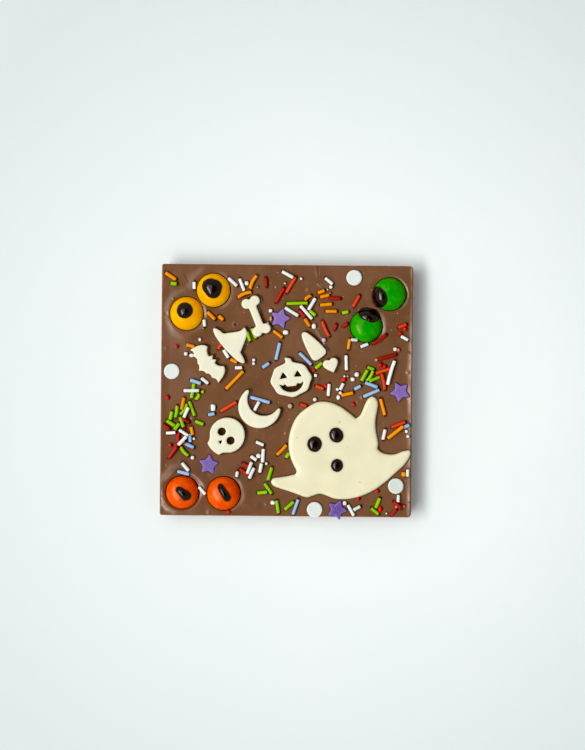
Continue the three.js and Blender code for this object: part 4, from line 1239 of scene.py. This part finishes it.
def dark_chocolate():
    finish = Finish("dark_chocolate", 0.08, 0.42, (0.88, 0.97, 1))
    finish.surface({"Base Color": finish.blend(finish.noise(2), linear(25, 14, 9), (40, 24, 17))})
    finish.relief((2.2, 2), 0.06)
    return finish.material


def sugar_shell(name, light, deep, far, worn, wear_and_sheen, specular, tint):
    """A sweet's glossy shell, with painted shade away from the window and spots of wear and painted sheen."""
    finish = Finish(name, 0.3, specular, tint)
    base = finish.patches(linear(*light), deep, (3.5, 4, 0.55), 0.36, 0.66)
    # painted shade on the side away from the window
    base = finish.marks(base, far, "far", 0.9)
    # pale spots, partly wear and partly painted sheen
    finish.surface({
        "Base Color": finish.patches(base, worn, (1.7, 5, 0.6), 0.5, 0.75, wear_and_sheen),
        "Roughness": finish.spread(finish.noise(2.5), 0.3, 0.7, 0.2, 0.28),
    })
    finish.relief((0.7, 3), 0.012)
    finish.translucent(0.25, 1.6)
    return finish.material


def pressed_sugar(name, light, deep, edge):
    """Dull sugar with worn patches and a painted highlight along its edge, each piece with a shade of its
    own.
    """
    finish = Finish(name, 0.6, 0.3)
    base = finish.blend(finish.attribute("shade"), linear(*light), deep)
    worn = [min(255, part * 0.9 + 24) for part in light]
    base = finish.patches(base, worn, (0.8, 4), 0.45, 0.75, 0.5)
    # painted highlight along the edge
    finish.surface({"Base Color": finish.marks(base, edge, "rim", 0.55)})
    finish.relief((0.35, 3), 0.05)
    return finish.material


def sprinkle_sugar(name, light, deep, roughness):
    """Sprinkles of one colour, each with a shade of its own."""
    finish = Finish(name, roughness, 0.16)
    base = finish.blend(finish.attribute("shade"), linear(*light), deep)
    worn = [min(255, part * 0.85 + 34) for part in light]
    finish.surface({"Base Color": finish.patches(base, worn, (0.8, 3), 0.62, 0.85, 0.25)})
    finish.relief((0.4, 3), 0.03)
    return finish.material


def table_top():
    """A pale surface with painted shade that makes it less bright far from the bar."""
    finish = Finish("table_top", 0.7, 0.2)
    base = finish.blend(finish.noise(60, 4), linear(238, 246, 246), (245, 250, 249))
    # painted shade: the table darkens far from the bar
    far_shade = finish.spread(finish.away(30, 0), 75, 190)
    finish.surface({"Base Color": finish.blend(far_shade, base, (218, 226, 226))})
    finish.relief((9, 4), 0.12)
    return finish.material


def area_light(name, place, size, power):
    """A lamp that faces the bar."""
    lamp = bpy.data.lights.new(name, "AREA")
    lamp.shape = "RECTANGLE"
    lamp.size, lamp.size_y = size
    lamp.energy = power
    lamp.color = LAMP_COLOUR
    holder = placed(name, lamp)
    holder.location = place
    holder.rotation_mode = "QUATERNION"
    holder.rotation_quaternion = (Vector((0, 0, TOP * MM)) - place).to_track_quat("-Z", "Y")


def toward(azimuth, elevation, distance):
    """A place at a compass angle from +X and a height angle, in degrees and metres."""
    a, e = math.radians(azimuth), math.radians(elevation)
    return distance * Vector((math.cos(e) * math.cos(a), math.cos(e) * math.sin(a), math.sin(e)))


def lights():
    """Two soft lamps, and a room whose ceiling is dimmer than its walls."""
    for name, (place, size, power) in LAMPS.items():
        area_light(name, toward(*place), size, power)
    world = bpy.data.worlds.new("room")
    bpy.context.scene.world = world
    world.use_nodes = True
    nodes, links = world.node_tree.nodes, world.node_tree.links
    ways = nodes.new("ShaderNodeSeparateXYZ")
    links.new(nodes.new("ShaderNodeTexCoord").outputs["Generated"], ways.inputs["Vector"])
    overhead = nodes.new("ShaderNodeMapRange")
    levels = {"From Min": 0.72, "From Max": 0.95, "To Min": WALL_LIGHT, "To Max": CEILING_LIGHT}
    for socket, value in levels.items():
        overhead.inputs[socket].default_value = value
    links.new(ways.outputs["Z"], overhead.inputs["Value"])
    nodes["Background"].inputs["Color"].default_value = ROOM_COLOUR
    links.new(overhead.outputs["Result"], nodes["Background"].inputs["Strength"])


def camera():
    """Straight above the bar, turned a little and off its middle."""
    data = bpy.data.cameras.new("camera")
    data.lens = 80
    data.sensor_width = 36
    x, y = CAMERA_PLACE
    holder = placed("camera", data)
    holder.location = (x * MM, y * MM, (CAMERA_DISTANCE + TOP) * MM)
    holder.rotation_euler = (0, 0, math.radians(CAMERA_TURN))
    bpy.context.scene.camera = holder


def film():
    """A plain tone scale whose blacks are a little deep."""
    settings = bpy.context.scene.view_settings
    settings.view_transform = "Standard"
    settings.use_curve_mapping = True
    settings.curve_mapping.black_level = (FILM_BLACK, FILM_BLACK, FILM_BLACK)
    settings.curve_mapping.update()


def table():
    """The surface that the bar lies on. It isn't part of the object."""
    corners = [(x * TABLE_HALF, y * TABLE_HALF, 0) for x, y in ((-1, -1), (1, -1), (1, 1), (-1, 1))]
    mesh = bpy.data.meshes.new("table")
    mesh.from_pydata(corners, [], [(0, 1, 2, 3)])
    mesh.materials.append(table_top())
    top = placed("table", mesh)


def build():
    """Every piece of the bar."""
    shells = {colour: sugar_shell("sugar_" + colour, *look) for colour, look in SHELL_LOOKS.items()}
    sugars = {colour: sprinkle_sugar("sprinkle_" + colour, *look) for colour, look in SPRINKLE_LOOKS.items()}
    dark = dark_chocolate()
    cream = white_chocolate("ghost_cream", (236, 229, 192), (241, 235, 201))
    ivory = white_chocolate("figure_ivory", (236, 232, 204), (241, 237, 212))
    # the last colour of each pressed sugar is its painted highlight along the edge
    purple = pressed_sugar("sugar_purple", (138, 110, 180), (94, 68, 140), (156, 126, 224))
    pale = pressed_sugar("sugar_white", (226, 232, 226), (206, 212, 202), (236, 241, 236))

    sweets = [sweet(name, shells[name.split("_")[0]]) for name in SWEETS]
    for name, place in zip(SWEETS, sweets):
        flat = round_circles(PUPILS[name])
        dark_dot("pupil_" + name, skin(place), dark, flat, PUPIL_DENTS.get(name))

    outlines = []
    piece, outline = flat_piece("ghost", cream, ghost_relief)
    outlines.append(outline)
    for node in GHOST_DOTS:
        flat = hull(cad_points(node)[:, :2])
        flat = flat.mean(axis=0) + DOT_GROWTH * (flat - flat.mean(axis=0))
        dark_dot(node, ghost_top, dark, flat)
    for name in FIGURES:
        piece, outline = flat_piece("figure_" + name, ivory, figure_relief)
        outlines.append(outline)
    for node in STARS:
        piece, outline = flat_piece(node, purple, star_relief, pointed)
        outlines.append(outline)
    for node in DISCS:
        piece, outline = flat_piece(node, pale, disc_relief)
        outlines.append(outline)

    lines = sprinkles(sugars, sweets)
    crumbs(sweets, outlines, lines, sprinkle_sugar("crumb_sugar", *CRUMB_LOOK))
    slab(sweets, outlines, lines, milk_chocolate())


build()
table()
lights()
camera()
film()
